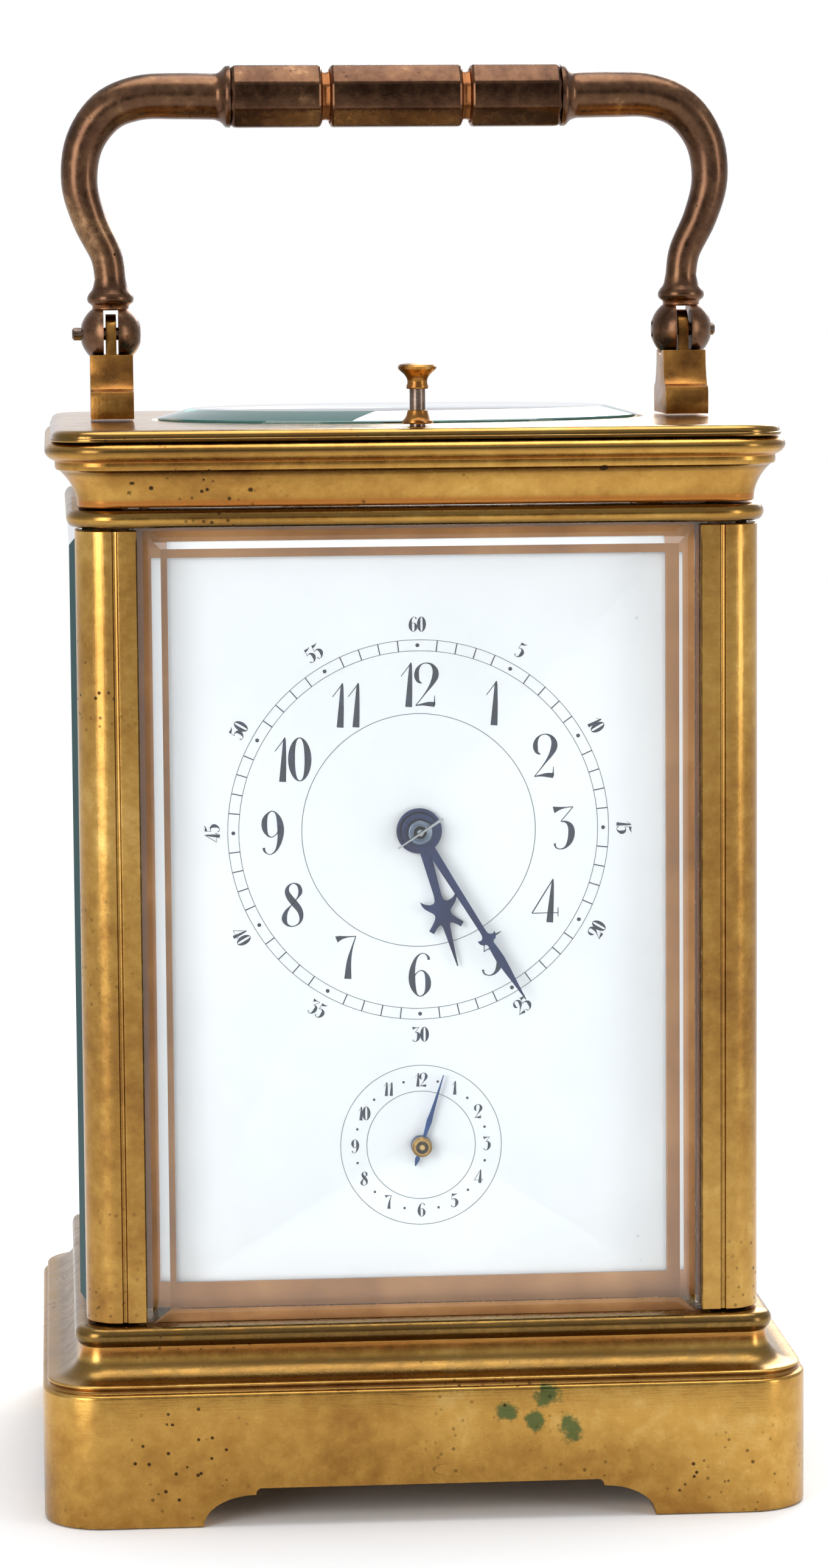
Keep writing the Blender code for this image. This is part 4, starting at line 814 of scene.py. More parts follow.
# The door's knob, as shares of its half width and heights above the frame, and its two hinge pins.
knobMiddle = middleOf("rear_door_knob")
knobLow, knobHigh = boxOf("rear_door_knob")
knobTall, knobWide = knobHigh.y - knobLow.y, (knobHigh.x - knobLow.x) / 2
knobShape = {
    "profile": [(0, 0), (0.62, 0), (0.66, 0.25), (0.45, 0.6), (0.42, 1.1), (0.6, 1.5), (0.92, 1.9), (1, 2.4),
                (0.96, knobTall - 0.6), (0.8, knobTall - 0.2), (0.5, knobTall), (0, knobTall)],
    "steps": 40, "pinEase": 0.1, "pinSteps": 24,
}
knob = turned([(knobWide * share, height) for share, height in knobShape["profile"]], knobShape["steps"])
makePiece("door_pull", joined((knob, at(knobMiddle.x, knobLow.y, knobMiddle.z, facingBack))), giltBrass,
          ["rear_door_knob"])
for end in ("top", "bottom"):
    node = f"rear_door_pin_{end}"
    low, high = boxOf(node)
    middle, radius, ease = middleOf(node), (high.x - low.x) / 2, knobShape["pinEase"]
    pin = turned([(0, low.z), (radius - ease, low.z), (radius, low.z + ease), (radius, high.z - ease),
                  (radius - ease, high.z), (0, high.z)], knobShape["pinSteps"])
    makePiece(f"hinge_pin_{end}", joined((pin, at(middle.x, middle.y, 0))), polishedSteel, [node])
print("door made")


# The handle: two bent limbs with slotted knuckles, a grip, and the feet and pins that it folds on.
handleShape = {
    "bell": [(146.6, 2.2), (147.0, 2.32), (147.5, 2.3), (147.75, 2.5), (147.95, 2.8), (148.3, 2.95), (148.7, 2.92),
             (149.1, 2.7), (149.5, 2.36), (149.9, 2.18)],
    "rod": [(36.4, 151.0, 1.95), (36.9, 154.0, 2.0), (38.9, 158.3, 2.15), (40.1, 163.0, 2.3), (39.4, 168.0, 2.45),
            (36.6, 171.9, 2.65), (32.5, 173.6, 2.8), (27.5, 173.8, 2.9), (22.9, 173.72, 2.9)],
    "collar": [(22.6, 173.7, 2.98), (22.3, 173.7, 3.12), (22.0, 173.7, 3.36), (21.75, 173.7, 3.66),
               (21.5, 173.7, 3.86), (20.98, 173.7, 3.88)],
    "pivotAside": 36.4, "pivotUp": 3.9, "smoothing": 6, "sides": 28, "slot": 1.9, "slotRoom": 0.5, "slotReach": 6,
    "bore": 1.1, "boreReach": 8, "pinInside": 3.75, "pinEase": 0.25, "ballFacets": (40, 26), "ballTurn": 0.11,
    "grip": {"radius": 4.2, "half": 21.0, "groove": 8.9, "neck": 3.3, "sides": 8, "ease": 0.35},
}
for side, sign in (("left", -1), ("right", 1)):
    node = f"handle_arm_{side}"
    low, high = boxOf(node)
    pivot = Vector((sign * handleShape["pivotAside"], 0, low.z + handleShape["pivotUp"]))
    ballRadius = pivot.z - low.z
    path = [(sign * pivot.x, 0, z, radius) for z, radius in handleShape["bell"]]
    path += [(x, 0, z, radius) for x, z, radius in smoothed(handleShape["rod"], handleShape["smoothing"])]
    path += [(x, 0, z, radius) for x, z, radius in handleShape["collar"]]
    arm = barAlong([(sign * x, y, z, radius) for x, y, z, radius in path], handleShape["sides"])
    ball = bmesh.new()
    bmesh.ops.create_uvsphere(ball, u_segments=handleShape["ballFacets"][0], v_segments=handleShape["ballFacets"][1],
                              radius=ballRadius, matrix=at(*pivot) @ Matrix.Rotation(handleShape["ballTurn"], 4, "X"))
    arm = carved(arm, ball, operation="UNION")
    halfSlot = handleShape["slot"] / 2
    slotTop = boxOf(f"handle_post_{side}")[1].z + handleShape["slotRoom"]
    reach, bore, long = handleShape["slotReach"], handleShape["bore"], handleShape["boreReach"]
    slotTool = blockOf((pivot.x - halfSlot, -reach, pivot.z - reach), (pivot.x + halfSlot, reach, slotTop))
    drill = turned([(0, -long), (bore, -long), (bore, long), (0, long)], handleShape["sides"])
    arm = carved(arm, slotTool, joined((drill, at(*pivot, facingRight))))
    makePiece(f"handle_limb_{side}", arm, handleBronze, [node], smooth=42)
    makePiece(f"handle_foot_{side}", easedNode(f"handle_post_{side}", 0.16, 2), footBronze,
              [f"handle_post_{side}"], slot="handle_bronze", smooth=40)
    pinNode = f"handle_pin_{side}"
    pinLow, pinHigh = boxOf(pinNode)
    pinRadius, ease = (pinHigh.z - pinLow.z) / 2, handleShape["pinEase"]
    start, end = sorted((pinLow.x if sign < 0 else pinHigh.x, pivot.x - sign * handleShape["pinInside"]))
    pin = turned([(0, start), (pinRadius - ease, start), (pinRadius, start + 0.22), (pinRadius, end - 0.22),
                  (pinRadius - ease, end), (0, end)], handleShape["sides"])
    makePiece(f"handle_pivot_{side}", joined((pin, at(0, 0, pivot.z, facingRight))), stemBronze, [pinNode])

grip = handleShape["grip"]
gripMiddle = middleOf("handle_grip")
half, groove, full = grip["half"], grip["groove"], grip["radius"]
gripEnd = [(0, -half), (full - 0.75, -half), (full - 0.3, -half + 0.12), (full - 0.05, -half + 0.5),
           (full, -half + 0.9), (full, -groove - 0.95), (full - 0.12, -groove - 0.72),
           (full - 0.45, -groove - 0.55), (grip["neck"], -groove - 0.45), (grip["neck"] - 0.12, -groove)]
gripEnd += [(grip["neck"], -groove + 0.45), (full - 0.45, -groove + 0.55), (full - 0.12, -groove + 0.72),
            (full, -groove + 0.95)]
bar = turned(gripEnd + [(radius, -height) for radius, height in reversed(gripEnd)], grip["sides"])
along = [edge for edge in bar.edges if abs(edge.verts[0].co.z - edge.verts[1].co.z) > 0.05
         and edge.verts[0].co.xy.length > 1 and edge.verts[1].co.xy.length > 1 and edge.calc_face_angle(0) > 0.3]
bmesh.ops.bevel(bar, geom=along, offset=grip["ease"], segments=3, profile=0.5, affect="EDGES", material=-1,
                clamp_overlap=True)
turnFlat = facingRight @ Matrix.Rotation(pi / grip["sides"], 4, "Z")
makePiece("handle_grip_bar", joined((bar, at(*gripMiddle, turnFlat))), gripBronze, ["handle_grip"], smooth=24)
print("handle made")


# The repeat button: heights go down from its top, and the collar's go up from its foot.
buttonLow, buttonHigh = boxOf("repeat_button")
buttonShape = {"cap": [(0, 0.0), (0.9, -0.02), (1.7, -0.08), (2.15, -0.2), (2.35, -0.45), (2.3, -0.72), (2.0, -1.0),
                       (1.6, -1.35), (1.32, -1.75), (1.2, -2.1), (1.22, -2.5), (1.32, -2.75), (1.34, -2.95),
                       (1.28, -3.1), (0.95, -3.14), (0, -3.14)],
               "stem": 0.95, "stemTop": 3.1, "stemEase": 0.15,
               "bush": [(1.05, 0), (1.8, 0), (1.9, 0.14), (1.88, 0.34), (1.7, 0.5), (1.5, 0.72), (1.36, 1.0),
                        (1.27, 1.35), (1.2, 1.6), (1.1, 1.66), (1.05, 1.6)]}
cap = turned([(radius, buttonHigh.z + drop) for radius, drop in buttonShape["cap"]], 48)
makePiece("repeat_plunger", joined((cap, at(*buttonPlace))), footBronze, ["repeat_button"])
radius, ease, top = buttonShape["stem"], buttonShape["stemEase"], buttonHigh.z - buttonShape["stemTop"]
stem = turned([(0, top), (radius, top), (radius, buttonLow.z + ease), (radius - ease, buttonLow.z),
               (0, buttonLow.z)], 40)
makePiece("repeat_stem", joined((stem, at(*buttonPlace))), stemBronze, body="repeat_button", slot="gilt_brass")
bushLow = boxOf("repeat_bush")[0].z
bush = turned([(radius, bushLow + rise) for radius, rise in buttonShape["bush"]], 48, closed=True)
makePiece("repeat_collar", joined((bush, at(*buttonPlace))), footBronze, ["repeat_bush"])
print("button made")


# The dial: an enamelled plate in a brown surround.
dialFace = boxOf("dial")[0].y
hourMiddle = Vector((0, 0, middleOf("hand_collet").z))
alarmMiddle = Vector((0, 0, middleOf("alarm_boss").z))
makePiece("dial_plate", easedNode("dial", 0.18, 2), dialEnamel, ["dial"], smooth=30)
# The surround runs on to the pillars and the top rail, so no light shows past its edges.
surroundShape = {"ease": 0.12, "outer": 0.5, "aside": 0.42, "above": 0.6}
surround, surroundHigh = easedNode("dial_mask", surroundShape["ease"], 2), boxOf("dial_mask")[1]
for vert in surround.verts:
    if abs(vert.co.x) > surroundHigh.x - surroundShape["outer"]:
        vert.co.x += copysign(surroundShape["aside"], vert.co.x)
    if vert.co.z > surroundHigh.z - surroundShape["outer"]:
        vert.co.z += surroundShape["above"]
makePiece("dial_surround", surround, maskBrown, ["dial_mask"])

# Each figure is drawn one unit high: strokes of x, y and width.
figures = {
    "1": [[(0.285, 1.0, 0.012), (0.278, 0.92, 0.06), (0.262, 0.6, 0.10), (0.245, 0.3, 0.13), (0.225, 0.0, 0.155)],
          [(0.285, 0.985, 0.02), (0.2, 0.87, 0.018), (0.06, 0.69, 0.016)]],
    "2": [[(0.17, 0.53, 0.02), (0.09, 0.58, 0.07), (0.055, 0.70, 0.11), (0.075, 0.84, 0.08), (0.16, 0.95, 0.03),
           (0.28, 0.985, 0.022), (0.40, 0.94, 0.06), (0.475, 0.82, 0.12), (0.475, 0.68, 0.14), (0.40, 0.52, 0.09),
           (0.29, 0.36, 0.04), (0.16, 0.19, 0.02), (0.03, 0.03, 0.018)],
          [(0.03, 0.03, 0.018), (0.18, 0.055, 0.05), (0.33, 0.06, 0.10), (0.46, 0.045, 0.11)],
          [(0.445, 0.04, 0.06), (0.455, 0.13, 0.025), (0.46, 0.25, 0.012)]],
    "3": [[(0.02, 0.91, 0.16), (0.12, 0.935, 0.09), (0.27, 0.96, 0.03), (0.46, 0.975, 0.018)],
          [(0.46, 0.975, 0.018), (0.33, 0.82, 0.018), (0.18, 0.645, 0.018)],
          [(0.18, 0.645, 0.018), (0.30, 0.635, 0.05), (0.40, 0.54, 0.12), (0.425, 0.38, 0.15), (0.385, 0.2, 0.12),
           (0.29, 0.065, 0.05), (0.17, 0.02, 0.022), (0.07, 0.06, 0.03), (0.04, 0.15, 0.05)]],
    "4": [[(0.50, 1.0, 0.012), (0.49, 0.85, 0.06), (0.455, 0.42, 0.115), (0.42, 0.0, 0.155)],
          [(0.50, 0.98, 0.02), (0.26, 0.60, 0.026), (0.02, 0.215, 0.024)],
          [(0.02, 0.215, 0.02), (0.3, 0.215, 0.018), (0.62, 0.215, 0.018)],
          [(0.61, 0.13, 0.015), (0.61, 0.24, 0.02), (0.61, 0.34, 0.015)]],
    "5": [[(0.07, 0.92, 0.12), (0.19, 0.925, 0.10), (0.33, 0.95, 0.05), (0.46, 1.02, 0.014)],
          [(0.09, 0.93, 0.02), (0.08, 0.75, 0.018), (0.07, 0.56, 0.018)],
          [(0.07, 0.56, 0.018), (0.17, 0.62, 0.024), (0.31, 0.60, 0.07), (0.42, 0.46, 0.15), (0.425, 0.29, 0.15),
           (0.34, 0.10, 0.07), (0.21, 0.02, 0.022), (0.08, 0.055, 0.03), (0.04, 0.15, 0.05)]],
    "6": [[(0.46, 0.84, 0.06), (0.445, 0.91, 0.05), (0.38, 0.975, 0.02), (0.29, 0.985, 0.02), (0.18, 0.89, 0.05),
           (0.10, 0.68, 0.11), (0.075, 0.44, 0.15), (0.105, 0.22, 0.12), (0.18, 0.06, 0.04), (0.27, 0.015, 0.02),
           (0.37, 0.08, 0.05), (0.435, 0.22, 0.12), (0.435, 0.40, 0.12), (0.375, 0.55, 0.05), (0.28, 0.60, 0.02),
           (0.18, 0.54, 0.02), (0.12, 0.45, 0.03)]],
    "7": [[(0.02, 0.90, 0.15), (0.12, 0.935, 0.09), (0.28, 0.955, 0.03), (0.46, 0.965, 0.018)],
          [(0.46, 0.965, 0.018), (0.37, 0.70, 0.04), (0.30, 0.40, 0.10), (0.27, 0.0, 0.16)]],
}
figures["8"] = [smoothed([(0.27, 0.99, 0.02), (0.16, 0.93, 0.05), (0.12, 0.81, 0.10), (0.18, 0.67, 0.14),
                          (0.29, 0.53, 0.15), (0.40, 0.38, 0.13), (0.435, 0.22, 0.09), (0.385, 0.08, 0.04),
                          (0.24, 0.012, 0.02), (0.11, 0.06, 0.06), (0.055, 0.19, 0.12), (0.10, 0.35, 0.08),
                          (0.22, 0.50, 0.02), (0.35, 0.65, 0.03), (0.42, 0.79, 0.09), (0.385, 0.93, 0.07)], 5, True)]
figures["9"] = [[(0.51 - x, 1 - y, width) for x, y, width in stroke] for stroke in figures["6"]]
figures["0"] = [[(0.26 + 0.185 * sin(tau * i / 40), 0.5 + 0.485 * cos(tau * i / 40),
                  0.02 + 0.135 * abs(sin(tau * i / 40)) ** 1.7) for i in range(40)]]
figureWidths = {"1": 0.31, "4": 0.63, "other": 0.51, "gap": 0.045}
closedFigures = "08"


# One inked stroke: a thin raised strip whose width follows the pen.
def inkStroke(points, closed, lift):
    line = points if closed else smoothed(points, 5)
    pairs = []
    for i, (x, y, width) in enumerate(line):
        before = line[i - 1] if i or closed else line[0]
        after = line[(i + 1) % len(line)] if closed or i + 1 < len(line) else line[i]
        away = Vector((before[1] - after[1], after[0] - before[0])).normalized() * width / 2
        pairs.append(((x + away.x, y + away.y, 0), (x - away.x, y - away.y, 0)))
    return ribbonOf(pairs, lift, closed)


# A number's figures side by side, centred on a place.
def inkWord(whole, word, tall, place, lift, weight=1.0):
    steps = [figureWidths.get(letter, figureWidths["other"]) + figureWidths["gap"] for letter in word]
    x = (figureWidths["gap"] - sum(steps)) / 2
    for letter, step in zip(word, steps):
        for stroke in figures[letter]:
            part = inkStroke([(px + x, py - 0.5, width * weight) for px, py, width in stroke], letter in closedFigures,
                             lift / tall)
            addPart(whole, part, place @ Matrix.Scale(tall, 4))
        x += step


dialShape = {
    "lift": 0.03, "sink": 0.02,
    "hourRadius": 17.9, "hourTall": 5.45, "minuteRadius": 25.3, "minuteTall": 1.85,
    "track": (23.4, 22.05), "trackLine": 0.07, "inner": 14.35, "innerLine": 0.075,
    "hourWeight": 1.0, "smallWeight": 1.45, "tick": 0.13, "dot": 0.24, "alarmRings": (9.95, 6.72), "alarmLine": 0.07,
    "alarmRadius": 8.15, "alarmTall": 1.72, "alarmDot": 0.16,
}


def dialPlace(centre):
    return at(0, dialFace + dialShape["sink"], centre.z, facingFront)


def around(radius, degrees):
    return radius * sin(radians(degrees)), radius * cos(radians(degrees))


lift = dialShape["lift"] + dialShape["sink"]
ink, lines = bmesh.new(), bmesh.new()
for hour in range(1, 13):
    x, y = around(dialShape["hourRadius"], hour * 30)
    inkWord(ink, str(hour), dialShape["hourTall"], dialPlace(hourMiddle) @ at(x, y, 0), lift,
            dialShape["hourWeight"])
    upright = -hour * 30 if hour <= 3 or hour >= 9 else 180 - hour * 30
    x, y = around(dialShape["minuteRadius"], hour * 30)
    turn = Matrix.Rotation(radians(upright), 4, "Z")
    inkWord(ink, str(hour * 5), dialShape["minuteTall"], dialPlace(hourMiddle) @ at(x, y, 0, turn), lift,
            dialShape["smallWeight"])
    x, y = around(dialShape["alarmRadius"], hour * 30)
    inkWord(ink, str(hour), dialShape["alarmTall"], dialPlace(alarmMiddle) @ at(x, y, 0), lift,
            dialShape["smallWeight"])
    x, y = around(dialShape["alarmRadius"], hour * 30 + 15)
    addPart(ink, plateOf([ringPoints(dialShape["alarmDot"], 14, (x, y))], 0, lift), dialPlace(alarmMiddle))
for minute in range(60):
    if minute % 5:
        part = boxBetween((*around(dialShape["track"][1], minute * 6), 0),
                          (*around(dialShape["track"][0], minute * 6), 0), dialShape["tick"], 0, lift)
    else:
        part = plateOf([ringPoints(dialShape["dot"], 20, around(sum(dialShape["track"]) / 2, minute * 6))], 0, lift)
    addPart(ink, part, dialPlace(hourMiddle))


def inkRing(radius, width, centre):
    low, high = radius - width / 2, radius + width / 2
    addPart(lines, turned([(low, 0), (high, 0), (high, lift), (low, lift)], 144, closed=True), dialPlace(centre))


for radius in dialShape["track"]:
    inkRing(radius, dialShape["trackLine"], hourMiddle)
inkRing(dialShape["inner"], dialShape["innerLine"], hourMiddle)
for radius in dialShape["alarmRings"]:
    inkRing(radius, dialShape["alarmLine"], alarmMiddle)
makePiece("dial_figures", ink, numeralInk, body="case", smooth=30)
makePiece("dial_rings", lines, ringInk, body="case", smooth=30)
print("dial painted")


# The hands lie along x as half outlines: distance from the centre and half width.
handShapes = {
    "hour": {"node": "hour_hand", "angle": 164.6, "hub": 2.8, "bore": 2.1, "ease": 0.11,
             "half": [(2.72, 0.64), (5.2, 0.56), (8.3, 0.47), (8.95, 0.56), (9.2, 0.82), (9.22, 1.25), (8.98, 1.8),
                      (8.5, 2.32), (9.1, 2.22), (9.6, 1.92), (10.05, 1.45), (10.4, 1.08), (10.75, 0.98),
                      (11.15, 1.15), (11.7, 1.62), (12.3, 2.2), (12.8, 1.72), (12.35, 1.3), (12.0, 0.85),
                      (11.95, 0.58), (12.3, 0.45), (14.4, 0.29), (17.4, 0.07)]},
    "minute": {"node": "minute_hand", "angle": 148.3, "hub": 2.25, "bore": 1.45, "ease": 0.1,
               "half": [(2.18, 0.56), (8.0, 0.45), (14.6, 0.37), (15.1, 0.42), (15.38, 0.62), (15.45, 0.9),
                        (15.3, 1.22), (15.75, 1.18), (16.1, 0.9), (16.2, 0.55), (16.45, 0.42), (17.3, 0.5),
                        (18.6, 0.56), (20.2, 0.46), (22.4, 0.25), (24.6, 0.06)]},
    "alarm": {"node": "alarm_hand", "angle": 17.6, "hub": 1.3, "bore": 0.7, "ease": 0.06,
              "half": [(1.28, 0.2), (2.0, 0.24), (3.2, 0.34), (4.2, 0.24), (6.0, 0.16), (9.2, 0.05)],
              "tail": [(1.28, 0.2), (1.7, 0.3), (2.1, 0.22), (2.6, 0.06)]},
}


def handOutline(look, steps=20):
    half, tail, hub = look["half"], look.get("tail"), look["hub"]
    start = asin(half[0][1] / hub)
    end = pi - (asin(tail[0][1] / hub) if tail else 0)
    arc = [polar(hub, start + (end - start) * i / steps) for i in range(1, steps)]
    side = list(reversed(half)) + arc + ([(-u, v) for u, v in tail] if tail else [(-hub, 0.0)])
    return side + [(u, -v) for u, v in reversed(side) if v > 1e-6]


for name, look in handShapes.items():
    low, high = boxOf(look["node"])
    centre = alarmMiddle if name == "alarm" else hourMiddle
    blade = plateOf([handOutline(look), ringPoints(look["bore"], 40)], -high.y, -low.y, look["ease"], 2)
    place = at(0, 0, centre.z, facingFront) @ Matrix.Rotation(radians(90 - look["angle"]), 4, "Z")
    makePiece(f"{name}_pointer", joined((blade, place)), alarmBlue if name == "alarm" else bluedSteel,
              [look["node"]], slot="blued_steel", smooth=50)

# Small turned rings on the hands' pipes: radii, with heights from the back and then from the front.
ringShapes = {
    "collet": [(0.8, 0), (1.36, 0), (1.5, 0.12)],
    "colletFront": [(1.5, -0.16), (1.42, -0.05), (1.3, 0), (1.02, -0.02), (0.92, -0.1), (0.8, -0.1)],
    "boss": [(0.7, 0), (1.2, 0), (1.27, 0.1)],
    "bossFront": [(1.27, -0.32), (1.18, -0.14), (1.0, 0), (0.78, 0), (0.7, -0.12)],
}


def ringOn(node, shape, centre, steps):
    low, high = boxOf(node)
    profile = [(radius, rise - high.y) for radius, rise in ringShapes[shape]]
    profile += [(radius, rise - low.y) for radius, rise in ringShapes[shape + "Front"]]
    return joined((turned(profile, steps, closed=True), at(0, 0, centre.z, facingFront)))


makePiece("hand_washer", ringOn("hand_collet", "collet", hourMiddle, 48), colletSteel, ["hand_collet"])
pinMiddle = middleOf("hand_pin")
handPin = {"profile": [(0, -3.3), (0.1, -3.3), (0.17, 3.2), (0.11, 3.3), (0, 3.3)], "rise": 33, "steps": 20}
pin = turned(handPin["profile"], handPin["steps"])
turn = Matrix.Rotation(-radians(handPin["rise"]), 4, "Y") @ facingRight
makePiece("hand_cross_pin", joined((pin, at(*pinMiddle, turn))), polishedSteel, ["hand_pin"])
makePiece("alarm_hand_boss", ringOn("alarm_boss", "boss", alarmMiddle, 40), giltBrass, ["alarm_boss"])
print("hands made")


# Where each turning part's axis stands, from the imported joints.
def axisOf(body):
    for joint in frame["joints"]:
        if joint["child"] == body and "pos_m" in joint:
            return Vector(joint["pos_m"]) / mm
    return Vector((0, 0, 0))


def toward(start, end):
    return atan2(end.z - start.z, end.x - start.x)


toothShape = [(-0.34, -1.0), (-0.24, -0.15), (-0.19, 0.4), (-0.08, 0.82), (0.08, 0.82), (0.19, 0.4), (0.24, -0.15),
              (0.34, -1.0)]  # share of the pitch and height in modules


# Teeth with rounded tips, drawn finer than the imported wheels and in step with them.
def gearOutline(teeth, pitch, facing=0.0, gap=False):
    module = 2 * pitch / teeth
    points = []
    for i in range(teeth):
        middle = facing + tau * (i + (0.5 if gap else 0)) / teeth
        for share, height in toothShape:
            points.append(polar(pitch + module * height, middle + tau * share / teeth))
    return points


# The windows between a wheel's spokes.
def spokeWindows(count, inner, outer, arm, start=0.27, steps=12):
    loops = []
    for i in range(count):
        low, high = start + tau * i / count, start + tau * (i + 1) / count
        loop = []
        for radius in (outer, inner):
            trim = asin(arm / 2 / radius)
            angles = [low + trim + (high - low - 2 * trim) * k / steps for k in range(steps + 1)]
            loop += [polar(radius, angle) for angle in (angles if radius == outer else reversed(angles))]
        loops.append(loop)
    return loops


def frontward(part, x, z):
    return part, at(x, 0, z, facingFront)


# Parts of one turning piece together on its axis, lying toward the front or standing upright.
def onAxis(axis, *parts):
    return joined(*(frontward(part, axis.x, axis.z) for part in parts))


def upright(part, x, y, turn=None):
    return part, at(x, y, 0, turn)


def onStaff(axis, *parts):
    return joined(*(upright(part, axis.x, axis.y) for part in parts))


# A slotted screw head standing on local z = 0.
def screwHead(radius, tall, angle=0.0, slot=0.28, root=-0.2):
    head = turned([(0, root), (radius, root), (radius, tall * 0.62), (radius * 0.93, tall * 0.86),
                   (radius * 0.6, tall), (0, tall)], 28)
    tool = blockOf((-radius * 1.3, -slot * radius / 2, tall * 0.45), (radius * 1.3, slot * radius / 2, tall * 2))
    bmesh.ops.rotate(tool, verts=tool.verts[:], cent=(0, 0, 0), matrix=Matrix.Rotation(radians(angle), 3, "Z"))
    return carved(head, tool)


axes = {body: axisOf(body) for body in frame["bodies"]}
trainShape = {
    "doubling": 2, "arbor": 0.8, "spokes": 4, "rim": 1.7, "arm": 1.15, "hub": [(0, 0.5), (1.5, 0.5), (1.6, 0.3)],
    "nose": [(0, 15.0), (0.5, 15.0), (0.5, 31.35), (0.38, 31.6), (0, 31.6)],
    # wheel teeth, pitch, front and back of the wheel, pinion teeth and pitch, pinion front and back,
    # arbor front and back, what drives it and what it drives
    "center_wheel": [36, 9.6, (-12.6, -11.6), 6, 2.2, (5.4, 8.2), (-15.7, 17.0), "going_barrel", "third_wheel"],
    "third_wheel": [36, 9.6, (9.2, 10.2), 6, 1.6, (-13.2, -11.0), (-15.7, 11.7), "minute_group", "contrate_wheel"],
    "strike_wheel": [36, 9.6, (9.2, 10.2), 6, 2.2, (-8.8, -6.0), (-15.7, 11.7), "strike_barrel", "pin_wheel"],
    "pin_wheel": [24, 6.0, (4.0, 5.0), 6, 1.6, (8.6, 10.8), (-15.7, 11.7), "strike_wheel", "fly"],
    "contrate_wheel": [0, 7.0, (-0.6, 0.4), 6, 1.6, (8.6, 10.8), (-15.7, 11.7), "third_wheel", ""],
}


# An arbor with thin pivots at both ends.
def arborOf(front, back, radius, pivot=0.7, shoulder=0.8):
    thin, thick = radius * 0.45, radius * 0.5
    return turned([(0, -back), (thin, -back), (thick, pivot - back), (radius, shoulder - back),
                   (radius, -front - shoulder), (thick, -front - pivot), (thin, -front), (0, -front)], 24)


def pinionOf(teeth, pitch, front, back, facing):
    return plateOf([gearOutline(teeth, pitch, facing, gap=True)], -back, -front)


for name in ("center_wheel", "third_wheel", "strike_wheel", "pin_wheel", "contrate_wheel"):
    teeth, pitch, (front, back), leaves, leafPitch, leafSpan, arborSpan, driver, driven = trainShape[name]
    here = axes[name] if name in axes else axes[frame["nodes"][name]["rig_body"]]
    double = trainShape["doubling"]
    facing = toward(here, axes[driven]) if driven else 0.0
    rim = gearOutline(teeth * double, pitch, facing) if teeth else ringPoints(pitch - 0.4, 72)
    wheel = plateOf([rim] + spokeWindows(trainShape["spokes"], trainShape["arbor"] + 1.25, pitch - trainShape["rim"],
                                         trainShape["arm"]), -back, -front, 0.05 if not teeth else 0, 1)
    hub = turned([(radius, -back - proud) for radius, proud in trainShape["hub"]]
                 + [(radius, proud - front) for radius, proud in reversed(trainShape["hub"])], 32)
    pinion = pinionOf(leaves * double, leafPitch, *leafSpan, toward(here, axes[driver]))
    makePiece(f"{name}_brass", onAxis(here, wheel, hub), wheelBrass, [name], smooth=36)
    steel = [pinion, arborOf(*arborSpan, trainShape["arbor"] - 0.1)]
    if name == "center_wheel":
        steel.append(turned(trainShape["nose"], 24))
    makePiece(f"{name}_arbor", onAxis(here, *steel), polishedSteel, body=frame["nodes"][name]["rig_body"], smooth=36)

# The contrate's crown: a thin wall whose teeth point to the front.
crown = {"teeth": 48, "outer": 7.75, "inner": 6.75, "back": 0.2, "root": -1.9, "tip": -2.95, "steps": 4}
rings = []
for radius, top in ((crown["outer"], False), (crown["outer"], True), (crown["inner"], True), (crown["inner"], False)):
    ring = []
    for i in range(crown["teeth"] * crown["steps"]):
        angle = pi / 2 + tau * (i - 0.5) / (crown["teeth"] * crown["steps"])
        depth = (crown["tip"] if i % crown["steps"] < 2 else crown["root"]) if top else crown["back"]
        ring.append((*polar(radius, angle), -depth))
    rings.append(ring)
contrate = axes["contrate_wheel"]
makePiece("contrate_crown_teeth", onAxis(contrate, skinned(rings, closed=True)), wheelBrass,
          body="contrate_wheel", smooth=30)
print("train cut")


# The barrels: each drum's front and back, its teeth's front and back, and the wheel that it drives.
# The section gives how far in from the rim and how far behind the front or before the back each point is.
barrelShape = {
    "teeth": 78, "pitch": 14.3, "radius": 13.2, "bore": 2.4, "steps": 72,
    "going": [(-9.0, 6.5), (6.0, 7.6), "center_wheel"], "strike": [(-7.0, 6.5), (-8.2, -6.6), "strike_wheel"],
    "backEnd": [(0.9, 0), (0.8, -0.25), (0.5, -0.25), (0.4, 0), (0.12, 0), (0, 0.12)],
    "frontEnd": [(0, 1.0), (0.12, 0.88), (0.12, 0.76), (0, 0.64), (0, 0.12), (0.12, 0), (1.6, 0), (1.7, 0.3),
                 (4.5, 0.3), (4.6, 0)],
    "screws": 3, "screwsIn": 6.5, "screwsTurn": 0.4, "arborSteps": 36,
    "arbor": [(0, -18.0), (1.5, -18.0), (1.6, -17.6), (1.6, 17.2), (1.4, 17.5), (0, 17.5)],
    "square": [(-1.3, -1.3, -24.5), (1.3, 1.3, -17.8), 0.22, 2],
}
